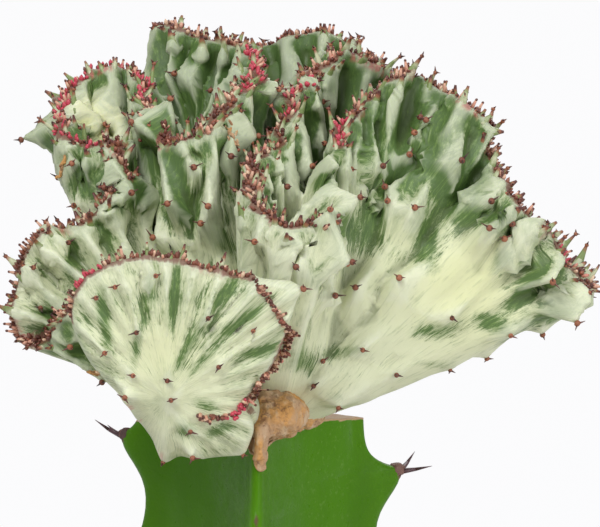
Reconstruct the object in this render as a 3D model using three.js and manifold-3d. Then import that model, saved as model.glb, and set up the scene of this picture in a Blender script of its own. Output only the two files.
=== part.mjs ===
import * as THREE from "three";
import Module from "manifold-3d";
import { mergeVertices } from "three/addons/utils/BufferGeometryUtils.js";

// Potted coral cactus: a crested, variegated succulent grafted on a green
// three-winged stem that stands in a plain clay pot. Millimetres, +Z up.
// Origin: centre of the pot's foot, on the surface that it stands on.

// Driving dimensions
const POT_HEIGHT = 92;
const POT_TOP_RADIUS = 56;
const POT_FOOT_RADIUS = 39;
const POT_WALL = 5;
const POT_FLOOR = 7;
const RIM_HEIGHT = 17;
const RIM_STEP = 4;
const DRAIN_RADIUS = 5;
const DRAIN_CIRCLE = 19;
const SOIL_BELOW_RIM = 10;
const SOIL_DEPTH = 62;
const STEM_ABOVE_SOIL = 74;
const STEM_IN_SOIL = 44;
const STEM_WING_RADIUS = 31;
const WING_EDGE = 3.4;
const WING_ROOT = 24;
const FACE_HOLLOW = 2.2;
const FACE_STEPS = 3;
const BEVEL_START = 9;
const BEVEL_SLOPE = 0.16;
const AREOLE_SPACING = 27;
const HORN_SHOULDER = 2.4;
const SHOULDER_CUTS = [0.8, 1.9, 3.4, 6];
const SEAT_GAP = 0.3;
const SHORTEST_EDGE = 0.4;
const TOUCHING = 0.04;

// The three wings: their turn about the stem, the height of the first areole
// below the graft union, and the reach that the grafting cut left above it.
const WINGS = [
  { turn: THREE.MathUtils.degToRad(-91), areole: -20, cut: 30 },
  { turn: THREE.MathUtils.degToRad(29), areole: -15, cut: 26.5 },
  { turn: THREE.MathUtils.degToRad(150), areole: -7, cut: 31 },
];

// Outline of a wing from one areole down to the next: share of the spacing,
// and how far the edge stands out past the wing's plain reach.
const HORN_OUTLINE = [
  [0, 5], [0.08, 5.2], [0.19, 3.6], [0.3, 1.2], [0.45, -0.8], [0.62, -1], [0.78, 0], [0.9, 1.8], [1, 5],
];
const STEM_SPINE = { length: 6.5, radius: 0.85, sunk: 2 };

const CALLUS_LUMPS = [
  { centre: [2, -4, 1], radii: [12.5, 11, 4], around: 14 },
  { centre: [2.8, -19, 3.8], radii: [7.6, 10.5, 5.4], around: 12 },
  { centre: [0.3, -29.5, -1.8], radii: [1.5, 3.6, 5.4], around: 8 },
];

// Heights worked out from them
const SOIL_TOP = POT_HEIGHT - SOIL_BELOW_RIM;
const GRAFT_HEIGHT = SOIL_TOP + STEM_ABOVE_SOIL;

// The crest is measured across, up and deep from the graft union, as seen
// from the front by an eye one metre away that looks down a little.
const EYE_DISTANCE = 1000;
const EYE_PITCH = THREE.MathUtils.degToRad(8);
const EYE_AXIS = { across: 8.9, up: 33.8 };

// Crest sheet
const COLUMN_SPACING = 3.7;
const LEVELS = [0.16, 0.42, 0.65, 0.84, 0.985];
const HALF_THICKNESS = [6.5, 6.0, 4.7, 3.3, 1.9];
const MARGIN_RISE = 1.3;
const RIB_HEIGHT = 0.9;
const TUBERCLE_HEIGHT = { low: 2.2, high: 4.6 };
const SPINE_EVERY = 2;
const CREST_SPINE = { length: 2.6, radius: 0.45, sunk: 1.2 };
const NECK = new THREE.Vector3(2, -8, 4);

// Front fan, which faces the viewer like a scallop shell: the length of its
// growth lines by angle from the across axis, in degrees and millimetres.
const FAN_CENTRE = { across: -21, up: 3.5, deep: -34 };
const FAN_REACH = [
  [-35, 20.5], [-17, 21], [-4, 18], [6, 19.5], [13, 23.5], [21, 27], [28, 30.5],
  [45, 31.8], [56, 33], [70, 31.5], [85, 31.8], [101, 33], [120, 33.5], [133, 31.5],
  [140, 28], [148, 22], [156, 17], [168, 10.5], [195, 8], [230, 7.5], [252, 9],
  [268, 13.5], [283, 12.3], [296, 14.5], [311, 16.5],
];

// The growing margin of the crest is one line that winds to and fro. Each
// lobe holds the place that its growth lines fan out from, and the margin.
const LOBES = [
  {
    name: "lower left",
    hub: [-29, 13, -19],
    margin: [
      [-41, 25.5, -31], [-44, 21, -26], [-47, 17.5, -23], [-50, 15.5, -22],
      [-53, 18, -21], [-54.3, 23, -20], [-53.5, 28, -19], [-52, 33.5, -18],
      [-48.5, 38.5, -17], [-43, 40.5, -16], [-37.5, 43, -14], [-34, 47, -11],
    ],
  },
  {
    name: "upper left cup",
    hub: [-33, 33, 4],
    margin: [
      [-31, 50, -9], [-30, 54, -7], [-31, 58, -5], [-33.5, 60, -3], [-37.5, 59.5, -2],
      [-41, 60, -1], [-43.3, 62.5, 2], [-43.8, 66, 7], [-42.5, 69.5, 12],
      [-39.5, 73, 16], [-35, 76, 18], [-30, 76, 19], [-26.5, 74.5, 16],
    ],
  },
  {
    name: "middle left",
    hub: [-13, 33, -6],
    margin: [
      [-25.5, 71, 10], [-24.5, 66, 3], [-22, 62, -4], [-18, 59.5, -9], [-15, 61, -10],
      [-11.5, 63, -8], [-8, 67.5, -4], [-4.5, 71.5, 2], [-1, 73.5, 8], [-1, 77, 14],
    ],
  },
  {
    name: "tower",
    hub: [-14, 50, 24],
    margin: [
      [-2.5, 81, 20], [-6, 83, 24], [-10.5, 84, 26], [-15, 85, 27], [-19.5, 88, 28],
      [-23, 88.5, 31], [-24, 86, 37], [-20, 84.5, 42], [-13, 83, 44],
    ],
  },
  {
    name: "back rim",
    hub: [11, 46, 24],
    margin: [
      [-6, 81.5, 43], [0, 81, 40], [5, 82.5, 37], [10, 84, 36], [15, 84, 36],
      [20.5, 81, 34], [25.5, 78, 31], [28, 75.5, 26], [26, 76.5, 21], [21.5, 79.5, 19],
      [17, 79, 17], [13.5, 77, 14], [11, 73.5, 10], [9, 70.5, 6], [7, 68, 2],
    ],
  },
  {
    name: "front bowl",
    hub: [3, 17, -25],
    margin: [
      [5, 63.5, -2], [3.5, 58.5, -6], [0.5, 57, -10], [-1.5, 54.5, -15],
      [-1.8, 50.5, -19], [-0.7, 46.5, -24], [2.5, 43, -28], [7, 41.2, -30.5],
      [11.5, 41, -30], [15, 42, -27], [16.5, 45, -22], [15, 49.5, -17], [15, 54, -12],
    ],
  },
  {
    name: "right wall",
    hub: [17, 9, -13],
    margin: [
      [17, 59, -7], [18.5, 63, -3], [21, 67, 1], [25, 70, 4], [28.5, 73, 5],
      [32, 75, 6], [34.5, 74.5, 12], [38, 72.5, 13], [41.5, 70.5, 6], [45.5, 68.5, 1],
      [49, 65.5, 1], [50.5, 61, 5], [50.5, 57, 2], [52.5, 52, -4], [54.5, 48.5, -8],
      [58.5, 44, -8],
    ],
  },
  {
    name: "right tip",
    hub: [33, 12, -6],
    margin: [
      [62.5, 39, -7], [66, 34.5, -6], [70, 31, -5], [73, 28, -3], [73, 29, 3],
      [69, 32, 9], [64, 37, 14],
    ],
  },
  {
    name: "right back",
    hub: [22, 20, 16],
    margin: [
      [58.5, 42, 18], [53, 48, 22], [48, 54, 25], [43, 60, 27], [37, 64, 30],
      [32, 65, 35], [29, 63, 40],
    ],
  },
  {
    name: "back wall",
    hub: [-6, 18, 26],
    margin: [
      [25, 60, 40], [20, 61, 46], [14, 61, 50], [8, 62, 46], [3, 63, 40], [-3, 63, 40],
      [-8, 62, 46], [-13, 60, 51], [-19, 58, 49], [-24, 56, 42], [-29, 52, 38],
      [-34, 48, 37], [-38, 43, 31], [-39, 38, 24],
    ],
  },
];

const wasm = await Module();
wasm.setup();

// A seeded draw between 0 and 1, so that the plant is the same each time.
function seededDraw(seed) {
  let state = seed >>> 0;
  return () => {
    state = (Math.imul(state, 1664525) + 1013904223) >>> 0;
    return state / 4294967296;
  };
}

// Turns a reading across, up and deep into a place in the graft's own frame.
function fromView([across, up, deep]) {
  const spread = 1 + deep / EYE_DISTANCE;
  const x = EYE_AXIS.across + (across - EYE_AXIS.across) * spread;
  const eyeLevel = EYE_AXIS.up / Math.cos(EYE_PITCH);
  const rise = (up - EYE_AXIS.up) * spread - deep * Math.sin(EYE_PITCH);
  return new THREE.Vector3(x, deep, eyeLevel + rise / Math.cos(EYE_PITCH));
}

function lerpTable(table, key) {
  const after = table.findIndex(([at]) => at > key);
  if (after < 0) return table[table.length - 1][1];
  if (after === 0) return table[0][1];
  const [keyA, valueA] = table[after - 1];
  const [keyB, valueB] = table[after];
  return valueA + ((valueB - valueA) * (key - keyA)) / (keyB - keyA);
}

function toManifold(points, triangles) {
  const geometry = new THREE.BufferGeometry();
  const flat = points.flatMap((p) => [p.x, p.y, p.z]);
  geometry.setAttribute("position", new THREE.Float32BufferAttribute(flat, 3));
  geometry.setIndex(triangles.flat());
  const merged = mergeVertices(geometry, 1e-4);
  const index = Array.from(merged.index.array);
  const kept = [];
  for (let k = 0; k < index.length; k += 3) {
    const [a, b, c] = index.slice(k, k + 3);
    if (a !== b && b !== c && c !== a) kept.push(a, b, c);
  }
  return new wasm.Manifold(new wasm.Mesh({
    numProp: 3,
    vertProperties: new Float32Array(merged.attributes.position.array),
    triVerts: new Uint32Array(kept),
  }));
}

function toGeometry(manifold) {
  const mesh = manifold.getMesh();
  const geometry = new THREE.BufferGeometry();
  geometry.setAttribute("position", new THREE.BufferAttribute(mesh.vertProperties, 3));
  geometry.setIndex(new THREE.BufferAttribute(mesh.triVerts, 1));
  return geometry;
}

function uniteAll(solids) {
  let rest = solids;
  while (rest.length > 1) {
    const next = [];
    for (let k = 0; k < rest.length; k += 2) {
      next.push(k + 1 < rest.length ? rest[k].add(rest[k + 1]) : rest[k]);
    }
    rest = next;
  }
  return rest[0];
}

// Keeps the largest skin of a fused solid: a hollow that fusing has sealed is
// filled, and a loose scrap is dropped.
function outerSkin(solid) {
  const { vertProperties, triVerts } = solid.getMesh();
  const parent = Array.from({ length: vertProperties.length / 3 }, (_, k) => k);
  const rootOf = (k) => {
    let at = k;
    while (parent[at] !== at) {
      parent[at] = parent[parent[at]];
      at = parent[at];
    }
    return at;
  };
  for (let k = 0; k < triVerts.length; k += 3) {
    parent[rootOf(triVerts[k])] = rootOf(triVerts[k + 1]);
    parent[rootOf(triVerts[k + 1])] = rootOf(triVerts[k + 2]);
  }
  const skins = new Map();
  for (let k = 0; k < triVerts.length; k += 3) {
    const root = rootOf(triVerts[k]);
    if (!skins.has(root)) skins.set(root, []);
    skins.get(root).push(triVerts[k], triVerts[k + 1], triVerts[k + 2]);
  }
  const largest = [...skins.values()].sort((a, b) => b.length - a.length)[0];
  return new wasm.Manifold(new wasm.Mesh({
    numProp: 3,
    vertProperties,
    triVerts: new Uint32Array(largest),
  }));
}

// Draws the ends of each short edge together, where that keeps the skin
// closed and turns no face over, so that fusing leaves no slivers.
function withoutSlivers(solid, shortest) {
  const { vertProperties, triVerts } = solid.getMesh();
  const points = [];
  for (let k = 0; k < vertProperties.length; k += 3) {
    points.push(new THREE.Vector3().fromArray(vertProperties, k));
  }
  const faces = [];
  const facesAt = points.map(() => new Set());
  for (let k = 0; k < triVerts.length; k += 3) {
    const face = [triVerts[k], triVerts[k + 1], triVerts[k + 2]];
    for (const corner of face) facesAt[corner].add(faces.length);
    faces.push(face);
  }
  const neighbours = (k) => {
    const found = new Set();
    for (const f of facesAt[k]) faces[f].forEach((corner) => found.add(corner));
    found.delete(k);
    return found;
  };
  const areaNormal = (face, moved, place) => {
    const [a, b, c] = face.map((corner) => (moved.includes(corner) ? place : points[corner]));
    return b.clone().sub(a).cross(c.clone().sub(a));
  };
  const turnsOver = (keep, drop, place) => {
    for (const f of new Set([...facesAt[keep], ...facesAt[drop]])) {
      const face = faces[f];
      if (face.includes(keep) && face.includes(drop)) continue;
      const before = areaNormal(face, [], place);
      const after = areaNormal(face, [keep, drop], place);
      if (after.length() < 1e-4) return true;
      if (before.length() > 2e-3 && before.normalize().dot(after.normalize()) < 0.5) return true;
    }
    return false;
  };
  const collapse = (keep, drop) => {
    const shared = [...neighbours(keep)].filter((k) => neighbours(drop).has(k));
    if (shared.length !== 2) return false;
    const middle = points[keep].clone().lerp(points[drop], 0.5);
    const place = [middle, points[keep].clone(), points[drop].clone()]
      .find((spot) => !turnsOver(keep, drop, spot));
    if (!place) return false;
    points[keep].copy(place);
    for (const f of [...facesAt[drop]]) {
      const face = faces[f];
      if (face.includes(keep)) {
        for (const corner of face) facesAt[corner].delete(f);
        faces[f] = null;
      } else {
        face[face.indexOf(drop)] = keep;
        facesAt[keep].add(f);
      }
    }
    facesAt[drop].clear();
    return true;
  };
  // Corners that touch without sharing an edge are drawn a little apart.
  const spaceTouching = () => {
    const inUse = points.map((_, k) => k).filter((k) => facesAt[k].size > 0);
    const sorted = inUse.sort((a, b) => points[a].x - points[b].x);
    const normalAt = (k) => [...facesAt[k]]
      .reduce((sum, f) => sum.add(areaNormal(faces[f], [], null)), new THREE.Vector3())
      .normalize();
    sorted.forEach((a, k) => {
      for (let m = k + 1; m < sorted.length; m += 1) {
        const b = sorted[m];
        if (points[b].x - points[a].x > TOUCHING) break;
        if (points[a].distanceTo(points[b]) > TOUCHING || neighbours(a).has(b)) continue;
        const [normalA, normalB] = [normalAt(a), normalAt(b)];
        const apart = normalA.clone().sub(normalB).normalize();
        const outside = points[b].clone().sub(points[a]).dot(normalA) >= 0;
        points[a].addScaledVector(apart, outside ? -TOUCHING : TOUCHING);
        points[b].addScaledVector(apart, outside ? TOUCHING : -TOUCHING);
      }
    });
  };
  for (let pass = 0; pass < 6; pass += 1) {
    let changed = 0;
    for (let f = 0; f < faces.length; f += 1) {
      for (let side = 0; side < 3 && faces[f]; side += 1) {
        const [a, b] = [faces[f][side], faces[f][(side + 1) % 3]];
        if (points[a].distanceTo(points[b]) < shortest && collapse(a, b)) changed += 1;
      }
    }
    if (changed === 0) break;
  }
  spaceTouching();
  return new wasm.Manifold(new wasm.Mesh({
    numProp: 3,
    vertProperties: new Float32Array(points.flatMap((p) => [p.x, p.y, p.z])),
    triVerts: new Uint32Array(faces.filter(Boolean).flat()),
  }));
}

// A closed skin: a pole, rings of equal length round the form, and a pole.
function closedSkin(firstPole, rings, lastPole) {
  const count = rings[0].length;
  const points = [firstPole, ...rings.flat(), lastPole];
  const at = (ring, k) => 1 + ring * count + (k % count);
  const last = points.length - 1;
  const triangles = [];
  for (let k = 0; k < count; k += 1) {
    triangles.push([0, at(0, k + 1), at(0, k)]);
    for (let ring = 0; ring + 1 < rings.length; ring += 1) {
      triangles.push([at(ring, k), at(ring, k + 1), at(ring + 1, k + 1)]);
      triangles.push([at(ring, k), at(ring + 1, k + 1), at(ring + 1, k)]);
    }
    triangles.push([at(rings.length - 1, k), at(rings.length - 1, k + 1), last]);
  }
  const solid = toManifold(points, triangles);
  if (solid.volume() > 0) return solid;
  return toManifold(points, triangles.map(([a, b, c]) => [a, c, b]));
}

// A round lump whose three radii differ.
function lump(centre, radii, around = 12, rows = 5) {
  const rings = [];
  for (let row = 1; row < rows; row += 1) {
    const polar = (Math.PI * row) / rows;
    const ring = [];
    for (let k = 0; k < around; k += 1) {
      const turn = (2 * Math.PI * k) / around;
      ring.push(new THREE.Vector3(
        centre.x + radii.x * Math.sin(polar) * Math.cos(turn),
        centre.y + radii.y * Math.sin(polar) * Math.sin(turn),
        centre.z - radii.z * Math.cos(polar),
      ));
    }
    rings.push(ring);
  }
  const low = centre.clone().setZ(centre.z - radii.z);
  const high = centre.clone().setZ(centre.z + radii.z);
  return closedSkin(low, rings, high);
}

// A three-sided spine, sunk into what it grows from.
function spine(root, direction, { length, radius, sunk }) {
  const along = direction.clone().normalize();
  const helper = Math.abs(along.z) < 0.8 ? new THREE.Vector3(0, 0, 1) : new THREE.Vector3(1, 0, 0);
  const side = new THREE.Vector3().crossVectors(along, helper).normalize();
  const other = new THREE.Vector3().crossVectors(along, side);
  const base = root.clone().addScaledVector(along, -sunk);
  const points = [0, 1, 2].map((k) => {
    const turn = (2 * Math.PI * k) / 3;
    return base.clone()
      .addScaledVector(side, radius * Math.cos(turn))
      .addScaledVector(other, radius * Math.sin(turn));
  });
  points.push(root.clone().addScaledVector(along, length));
  const triangles = [[0, 2, 1], [0, 1, 3], [1, 2, 3], [2, 0, 3]];
  const solid = toManifold(points, triangles);
  if (solid.volume() > 0) return solid;
  return toManifold(points, triangles.map(([a, b, c]) => [a, c, b]));
}

// Middle surface of the winding sheet: a growth line for each column.
function growthLines() {
  const margins = [];
  const hubs = [];
  for (const lobe of LOBES) {
    for (const reading of lobe.margin) {
      margins.push(fromView(reading));
      hubs.push(fromView(lobe.hub));
    }
  }
  for (let pass = 0; pass < 4; pass += 1) {
    for (let k = 1; k + 1 < hubs.length; k += 1) {
      hubs[k].lerp(hubs[k - 1].clone().add(hubs[k + 1]).multiplyScalar(0.5), 0.5);
    }
  }
  const marginLine = new THREE.CatmullRomCurve3(margins, false, "centripetal");
  marginLine.arcLengthDivisions = 1200;
  const hubLine = new THREE.CatmullRomCurve3(hubs, false, "catmullrom", 0);
  const count = 2 * Math.round(marginLine.getLength() / COLUMN_SPACING / 2);
  const lines = [];
  for (let c = 0; c <= count; c += 1) {
    const t = marginLine.getUtoTmapping(c / count);
    const bend = new THREE.QuadraticBezierCurve3(NECK, hubLine.getPoint(t), marginLine.getPoint(t));
    lines.push(LEVELS.map((v) => bend.getPoint(v)));
  }
  return lines;
}

function sheetNormals(lines) {
  const last = lines.length - 1;
  let normals = lines.map((line, c) => line.map((_, j) => {
    const before = lines[Math.max(c - 1, 0)][j];
    const after = lines[Math.min(c + 1, last)][j];
    const below = line[Math.max(j - 1, 0)];
    const above = line[Math.min(j + 1, line.length - 1)];
    const across = after.clone().sub(before).normalize();
    const growth = above.clone().sub(below).normalize();
    return across.cross(growth).normalize();
  }));
  for (let pass = 0; pass < 2; pass += 1) {
    normals = normals.map((line, c) => line.map((normal, j) => normal.clone()
      .multiplyScalar(2)
      .add(normals[Math.max(c - 1, 0)][j])
      .add(normals[Math.min(c + 1, last)][j])
      .normalize()));
  }
  return normals;
}

// Thins the inner side of each tight turn, where the sheet would cross itself.
function clearHalfThickness(lines, normals, side) {
  const last = lines.length - 1;
  const half = lines.map((line, c) => {
    const fromEnd = Math.min(c, last - c);
    const taper = fromEnd >= 3 ? 1 : [0.35, 0.7, 0.9][fromEnd];
    return line.map((_, j) => HALF_THICKNESS[j] * taper);
  });
  for (let pass = 0; pass < 60; pass += 1) {
    let crossings = 0;
    for (let c = 0; c < last; c += 1) {
      for (let j = 0; j < LEVELS.length; j += 1) {
        const step = lines[c + 1][j].clone().sub(lines[c][j]);
        const turned = normals[c + 1][j].clone().multiplyScalar(side * half[c + 1][j])
          .sub(normals[c][j].clone().multiplyScalar(side * half[c][j]));
        if (step.dot(turned) < -0.75 * step.lengthSq()) {
          half[c][j] *= 0.9;
          half[c + 1][j] *= 0.9;
          crossings += 1;
        }
      }
    }
    if (crossings === 0) break;
  }
  return half;
}

// Outer points of one face of the sheet, with its ribs and tubercles.
function sheetFace(lines, normals, side, draw, tips) {
  const half = clearHalfThickness(lines, normals, side);
  return lines.map((line, c) => line.map((point, j) => {
    const normal = normals[c][j].clone().multiplyScalar(side);
    const growth = line[Math.min(j + 1, line.length - 1)].clone().sub(line[Math.max(j - 1, 0)]).normalize();
    const onRib = c % 2 === 0;
    const place = point.clone().addScaledVector(normal, half[c][j]);
    const freedom = half[c][j] / HALF_THICKNESS[j];
    place.addScaledVector(normal, (onRib ? RIB_HEIGHT : -RIB_HEIGHT) * 0.5 * freedom);
    const staggered = onRib && (c / 2 + j * 2 + (side > 0 ? 1 : 0)) % 3 === 0;
    if (staggered && j > 0 && j < LEVELS.length - 1 && freedom > 0.6) {
      const span = TUBERCLE_HEIGHT.high - TUBERCLE_HEIGHT.low;
      const height = TUBERCLE_HEIGHT.low + draw() * span;
      place.addScaledVector(normal, height).addScaledVector(growth, height * 0.7);
      tips.push({ place: place.clone(), out: normal.clone().addScaledVector(growth, 0.8) });
    }
    return place;
  }));
}

// One closed slab of the sheet between two columns.
function slab(faceA, faceB, ridge, c) {
  const rows = LEVELS.length;
  const loop = (k) => [...faceA[k], ridge[k], ...[...faceB[k]].reverse()];
  const near = loop(c);
  const far = loop(c + 1);
  const size = near.length;
  const triangles = [];
  for (let k = 0; k < size; k += 1) {
    const next = (k + 1) % size;
    if (k % 2 === 0) {
      triangles.push([k, next, size + next], [k, size + next, size + k]);
    } else {
      triangles.push([k, next, size + k], [next, size + next, size + k]);
    }
  }
  // Side strips run from face to face, level by level, up to the ridge.
  for (const [base, flip] of [[0, true], [size, false]]) {
    const strip = [];
    for (let j = 0; j + 1 < rows; j += 1) {
      const a = base + j;
      const b = base + j + 1;
      const d = base + size - 1 - j;
      const e = base + size - 2 - j;
      strip.push([a, b, e], [a, e, d]);
    }
    strip.push([base + rows - 1, base + rows, base + rows + 1]);
    for (const [a, b, d] of strip) triangles.push(flip ? [a, d, b] : [a, b, d]);
  }
  const points = [...near, ...far];
  const solid = toManifold(points, triangles);
  if (solid.volume() > 0) return solid;
  return toManifold(points, triangles.map(([a, b, d]) => [a, d, b]));
}

function windingSheet(draw, tips) {
  const lines = growthLines();
  const normals = sheetNormals(lines);
  const faceA = sheetFace(lines, normals, 1, draw, tips);
  const faceB = sheetFace(lines, normals, -1, draw, tips);
  const top = LEVELS.length - 1;
  const ridge = lines.map((line, c) => {
    const growth = line[top].clone().sub(line[top - 1]).normalize();
    const onRib = c % 2 === 0;
    const place = line[top].clone().addScaledVector(growth, onRib ? MARGIN_RISE + 0.8 : MARGIN_RISE);
    if (onRib) tips.push({ place: place.clone(), out: growth });
    return place;
  });
  const slabs = [];
  for (let c = 0; c + 1 < lines.length; c += 1) slabs.push(slab(faceA, faceB, ridge, c));
  return slabs;
}

// The front fan: a pad with radial ribs, closed all round.
function frontFan(draw, tips) {
  const angles = [];
  for (let degrees = -35; degrees < 145; degrees += 5.6) angles.push(degrees);
  for (let degrees = 146; degrees < 318; degrees += 12) angles.push(degrees);
  const shares = [0.3, 0.55, 0.78, 0.93];
  const halves = [5.2, 4.8, 4.0, 2.9];
  const reading = (degrees, share, lift) => {
    const reach = lerpTable([...FAN_REACH, [325, 20.5]], degrees) * share;
    const turn = THREE.MathUtils.degToRad(degrees);
    const forward = -3.2 * Math.sin(turn) * share * share;
    return fromView([
      FAN_CENTRE.across + reach * Math.cos(turn),
      FAN_CENTRE.up + reach * Math.sin(turn),
      FAN_CENTRE.deep + forward + lift,
    ]);
  };
  const ringOf = (share, half, side, level) => angles.map((degrees, k) => {
    const onRib = k % 2 === 0;
    let lift = side * (half + (onRib ? RIB_HEIGHT : -RIB_HEIGHT) * 0.5);
    const tubercle = onRib && (k / 2 + level * 2) % 3 === 0 && share > 0.4;
    let reach = share;
    if (tubercle) {
      const height = 1.4 + draw() * 1.6;
      lift += side * height;
      reach += 0.03;
    }
    const place = reading(degrees, reach, lift);
    if (tubercle) {
      const outward = place.clone().sub(reading(degrees, 0, 0)).normalize();
      tips.push({ place: place.clone(), out: new THREE.Vector3(0, side, 0).addScaledVector(outward, 0.7) });
    }
    return place;
  });
  const rings = [
    ...shares.map((share, k) => ringOf(share, halves[k], -1, k)),
    angles.map((degrees, k) => {
      const place = reading(degrees, k % 2 === 0 ? 1.03 : 0.97, 0);
      const outward = place.clone().sub(reading(degrees, 0.5, 0)).normalize();
      if (k % 2 === 0) tips.push({ place: place.clone(), out: outward });
      return place;
    }),
    ...shares.map((share, k) => ringOf(share, halves[k], 1, k)).reverse(),
  ];
  return closedSkin(reading(0, 0, -5.5), rings, reading(0, 0, 5.5));
}

// Old wood of the crest between the graft union and the lobes.
function neck() {
  const trunk = lump(new THREE.Vector3(3, -3, 8), new THREE.Vector3(15, 13, 12));
  const fanStalk = lump(new THREE.Vector3(-12, -24, 5), new THREE.Vector3(13, 13, 7));
  const rightHip = lump(new THREE.Vector3(16, -8, 11), new THREE.Vector3(14, 9, 8));
  return [trunk, fanStalk, rightHip];
}

function crestSpines(tips, draw) {
  return tips.filter((_, k) => k % SPINE_EVERY === 0).map(({ place, out }) => {
    const lean = new THREE.Vector3(draw() - 0.5, draw() - 0.5, draw() - 0.2).multiplyScalar(0.7);
    return spine(place, out.clone().normalize().add(lean), CREST_SPINE);
  });
}

function crest() {
  const draw = seededDraw(7);
  const tips = [];
  const body = uniteAll([...windingSheet(draw, tips), frontFan(draw, tips), ...neck()]);
  return uniteAll([body, uniteAll(crestSpines(tips, draw))]);
}

// Reach of one wing at one height. At each areole the wing stands out in a
// horn, draws in below it and widens again to the next one. Above the first
// horn it falls back in a hollow curve to the edge that the graft was cut to.
function wingReach(wing, height) {
  const below = (wing.areole - height) / AREOLE_SPACING;
  if (below >= 0) return STEM_WING_RADIUS + lerpTable(HORN_OUTLINE, below - Math.floor(below));
  const horn = STEM_WING_RADIUS + HORN_OUTLINE[0][1];
  return wing.cut + (horn - wing.cut) * Math.exp((wing.areole - height) / HORN_SHOULDER);
}

// Cross-section of the winged stem at one height, wing by wing: a blunt edge,
// then a hollow face across to the next wing.
function stemRing(height, grow) {
  const edges = WINGS.map((wing) => {
    const reach = wingReach(wing, height) + grow;
    const out = new THREE.Vector2(Math.cos(wing.turn), Math.sin(wing.turn));
    const side = new THREE.Vector2(-out.y, out.x);
    const half = WING_EDGE / 2 + grow;
    const corner = (radius, offset) => out.clone().multiplyScalar(radius).addScaledVector(side, offset);
    return {
      tip: corner(reach, 0),
      heels: [corner(reach - 1.2, half), corner(reach - 1.2, -half)],
      roots: [corner(WING_ROOT, half + 0.9), corner(WING_ROOT, -half - 0.9)],
    };
  });
  const ring = [];
  edges.forEach((edge, k) => {
    const next = edges[(k + 1) % edges.length];
    ring.push(edge.roots[1], edge.heels[1], edge.tip, edge.heels[0]);
    for (let step = 0; step <= FACE_STEPS; step += 1) {
      const share = step / (FACE_STEPS + 1);
      const point = edge.roots[0].clone().lerp(next.roots[1], share);
      const sag = FACE_HOLLOW * (1 - (2 * share - 1) ** 2);
      ring.push(point.setLength(point.length() - sag));
    }
  });
  return ring.map(({ x, y }) => {
    const bevel = -Math.max(0, Math.hypot(x, y) - BEVEL_START) * BEVEL_SLOPE;
    return new THREE.Vector3(x, y, Math.min(height, bevel + grow));
  });
}

function rootstock(grow = 0) {
  const length = STEM_ABOVE_SOIL + STEM_IN_SOIL;
  const heights = [-length, 0];
  for (const wing of WINGS) {
    heights.push(...SHOULDER_CUTS.map((rise) => wing.areole + rise));
    for (let z = wing.areole; z > -length + 6; z -= AREOLE_SPACING) {
      heights.push(...HORN_OUTLINE.slice(0, -1).map(([share]) => z - AREOLE_SPACING * share));
    }
  }
  const spaced = heights.filter((z) => z <= 0 && z >= -length).sort((a, b) => a - b)
    .filter((z, k, all) => k === 0 || z === 0 || z - all[k - 1] > 0.4);
  const rings = spaced.map((z) => stemRing(z, grow));
  return closedSkin(new THREE.Vector3(0, 0, -length - grow), rings, new THREE.Vector3(0, 0, grow));
}

// Two stout spines on the horn at each areole above the soil.
function stemSpines() {
  const spines = [];
  for (const wing of WINGS) {
    for (let z = wing.areole; z > -STEM_ABOVE_SOIL + 4; z -= AREOLE_SPACING) {
      const reach = STEM_WING_RADIUS + HORN_OUTLINE[0][1];
      for (const side of [-1, 1]) {
        const turn = wing.turn + side * 0.5;
        const out = new THREE.Vector3(Math.cos(turn), Math.sin(turn), 0.25);
        const root = new THREE.Vector3(Math.cos(wing.turn), Math.sin(wing.turn), 0)
          .multiplyScalar(reach - 0.6).setZ(z - 1.6);
        spines.push(spine(root, out, STEM_SPINE));
      }
    }
  }
  return uniteAll(spines);
}

// Healed tissue between stem and crest: a collar, the lump that swells out in
// front of it, and the strip that ran down the front wing and dried there.
function callus(grow = 0) {
  return uniteAll(CALLUS_LUMPS.map(({ centre, radii, around }) => {
    const swollen = new THREE.Vector3(...radii).addScalar(grow);
    return lump(new THREE.Vector3(...centre), swollen, around, 6);
  }));
}

const potRadiusAt = (z) => POT_FOOT_RADIUS
  + ((POT_TOP_RADIUS - RIM_STEP - POT_FOOT_RADIUS) * z) / (POT_HEIGHT - RIM_HEIGHT);

function lathe(profile, segments) {
  const points = profile.map(([radius, z]) => new THREE.Vector2(radius, z));
  const turned = new THREE.LatheGeometry(points, segments);
  turned.rotateX(Math.PI / 2);
  turned.deleteAttribute("normal");
  turned.deleteAttribute("uv");
  const merged = mergeVertices(turned, 1e-4);
  const position = merged.attributes.position;
  const corners = [];
  for (let k = 0; k < position.count; k += 1) {
    corners.push(new THREE.Vector3().fromBufferAttribute(position, k));
  }
  const triangles = [];
  const index = merged.index.array;
  for (let k = 0; k < index.length; k += 3) triangles.push([index[k], index[k + 1], index[k + 2]]);
  const solid = toManifold(corners, triangles);
  if (solid.volume() > 0) return solid;
  return toManifold(corners, triangles.map(([a, b, c]) => [a, c, b]));
}

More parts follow.
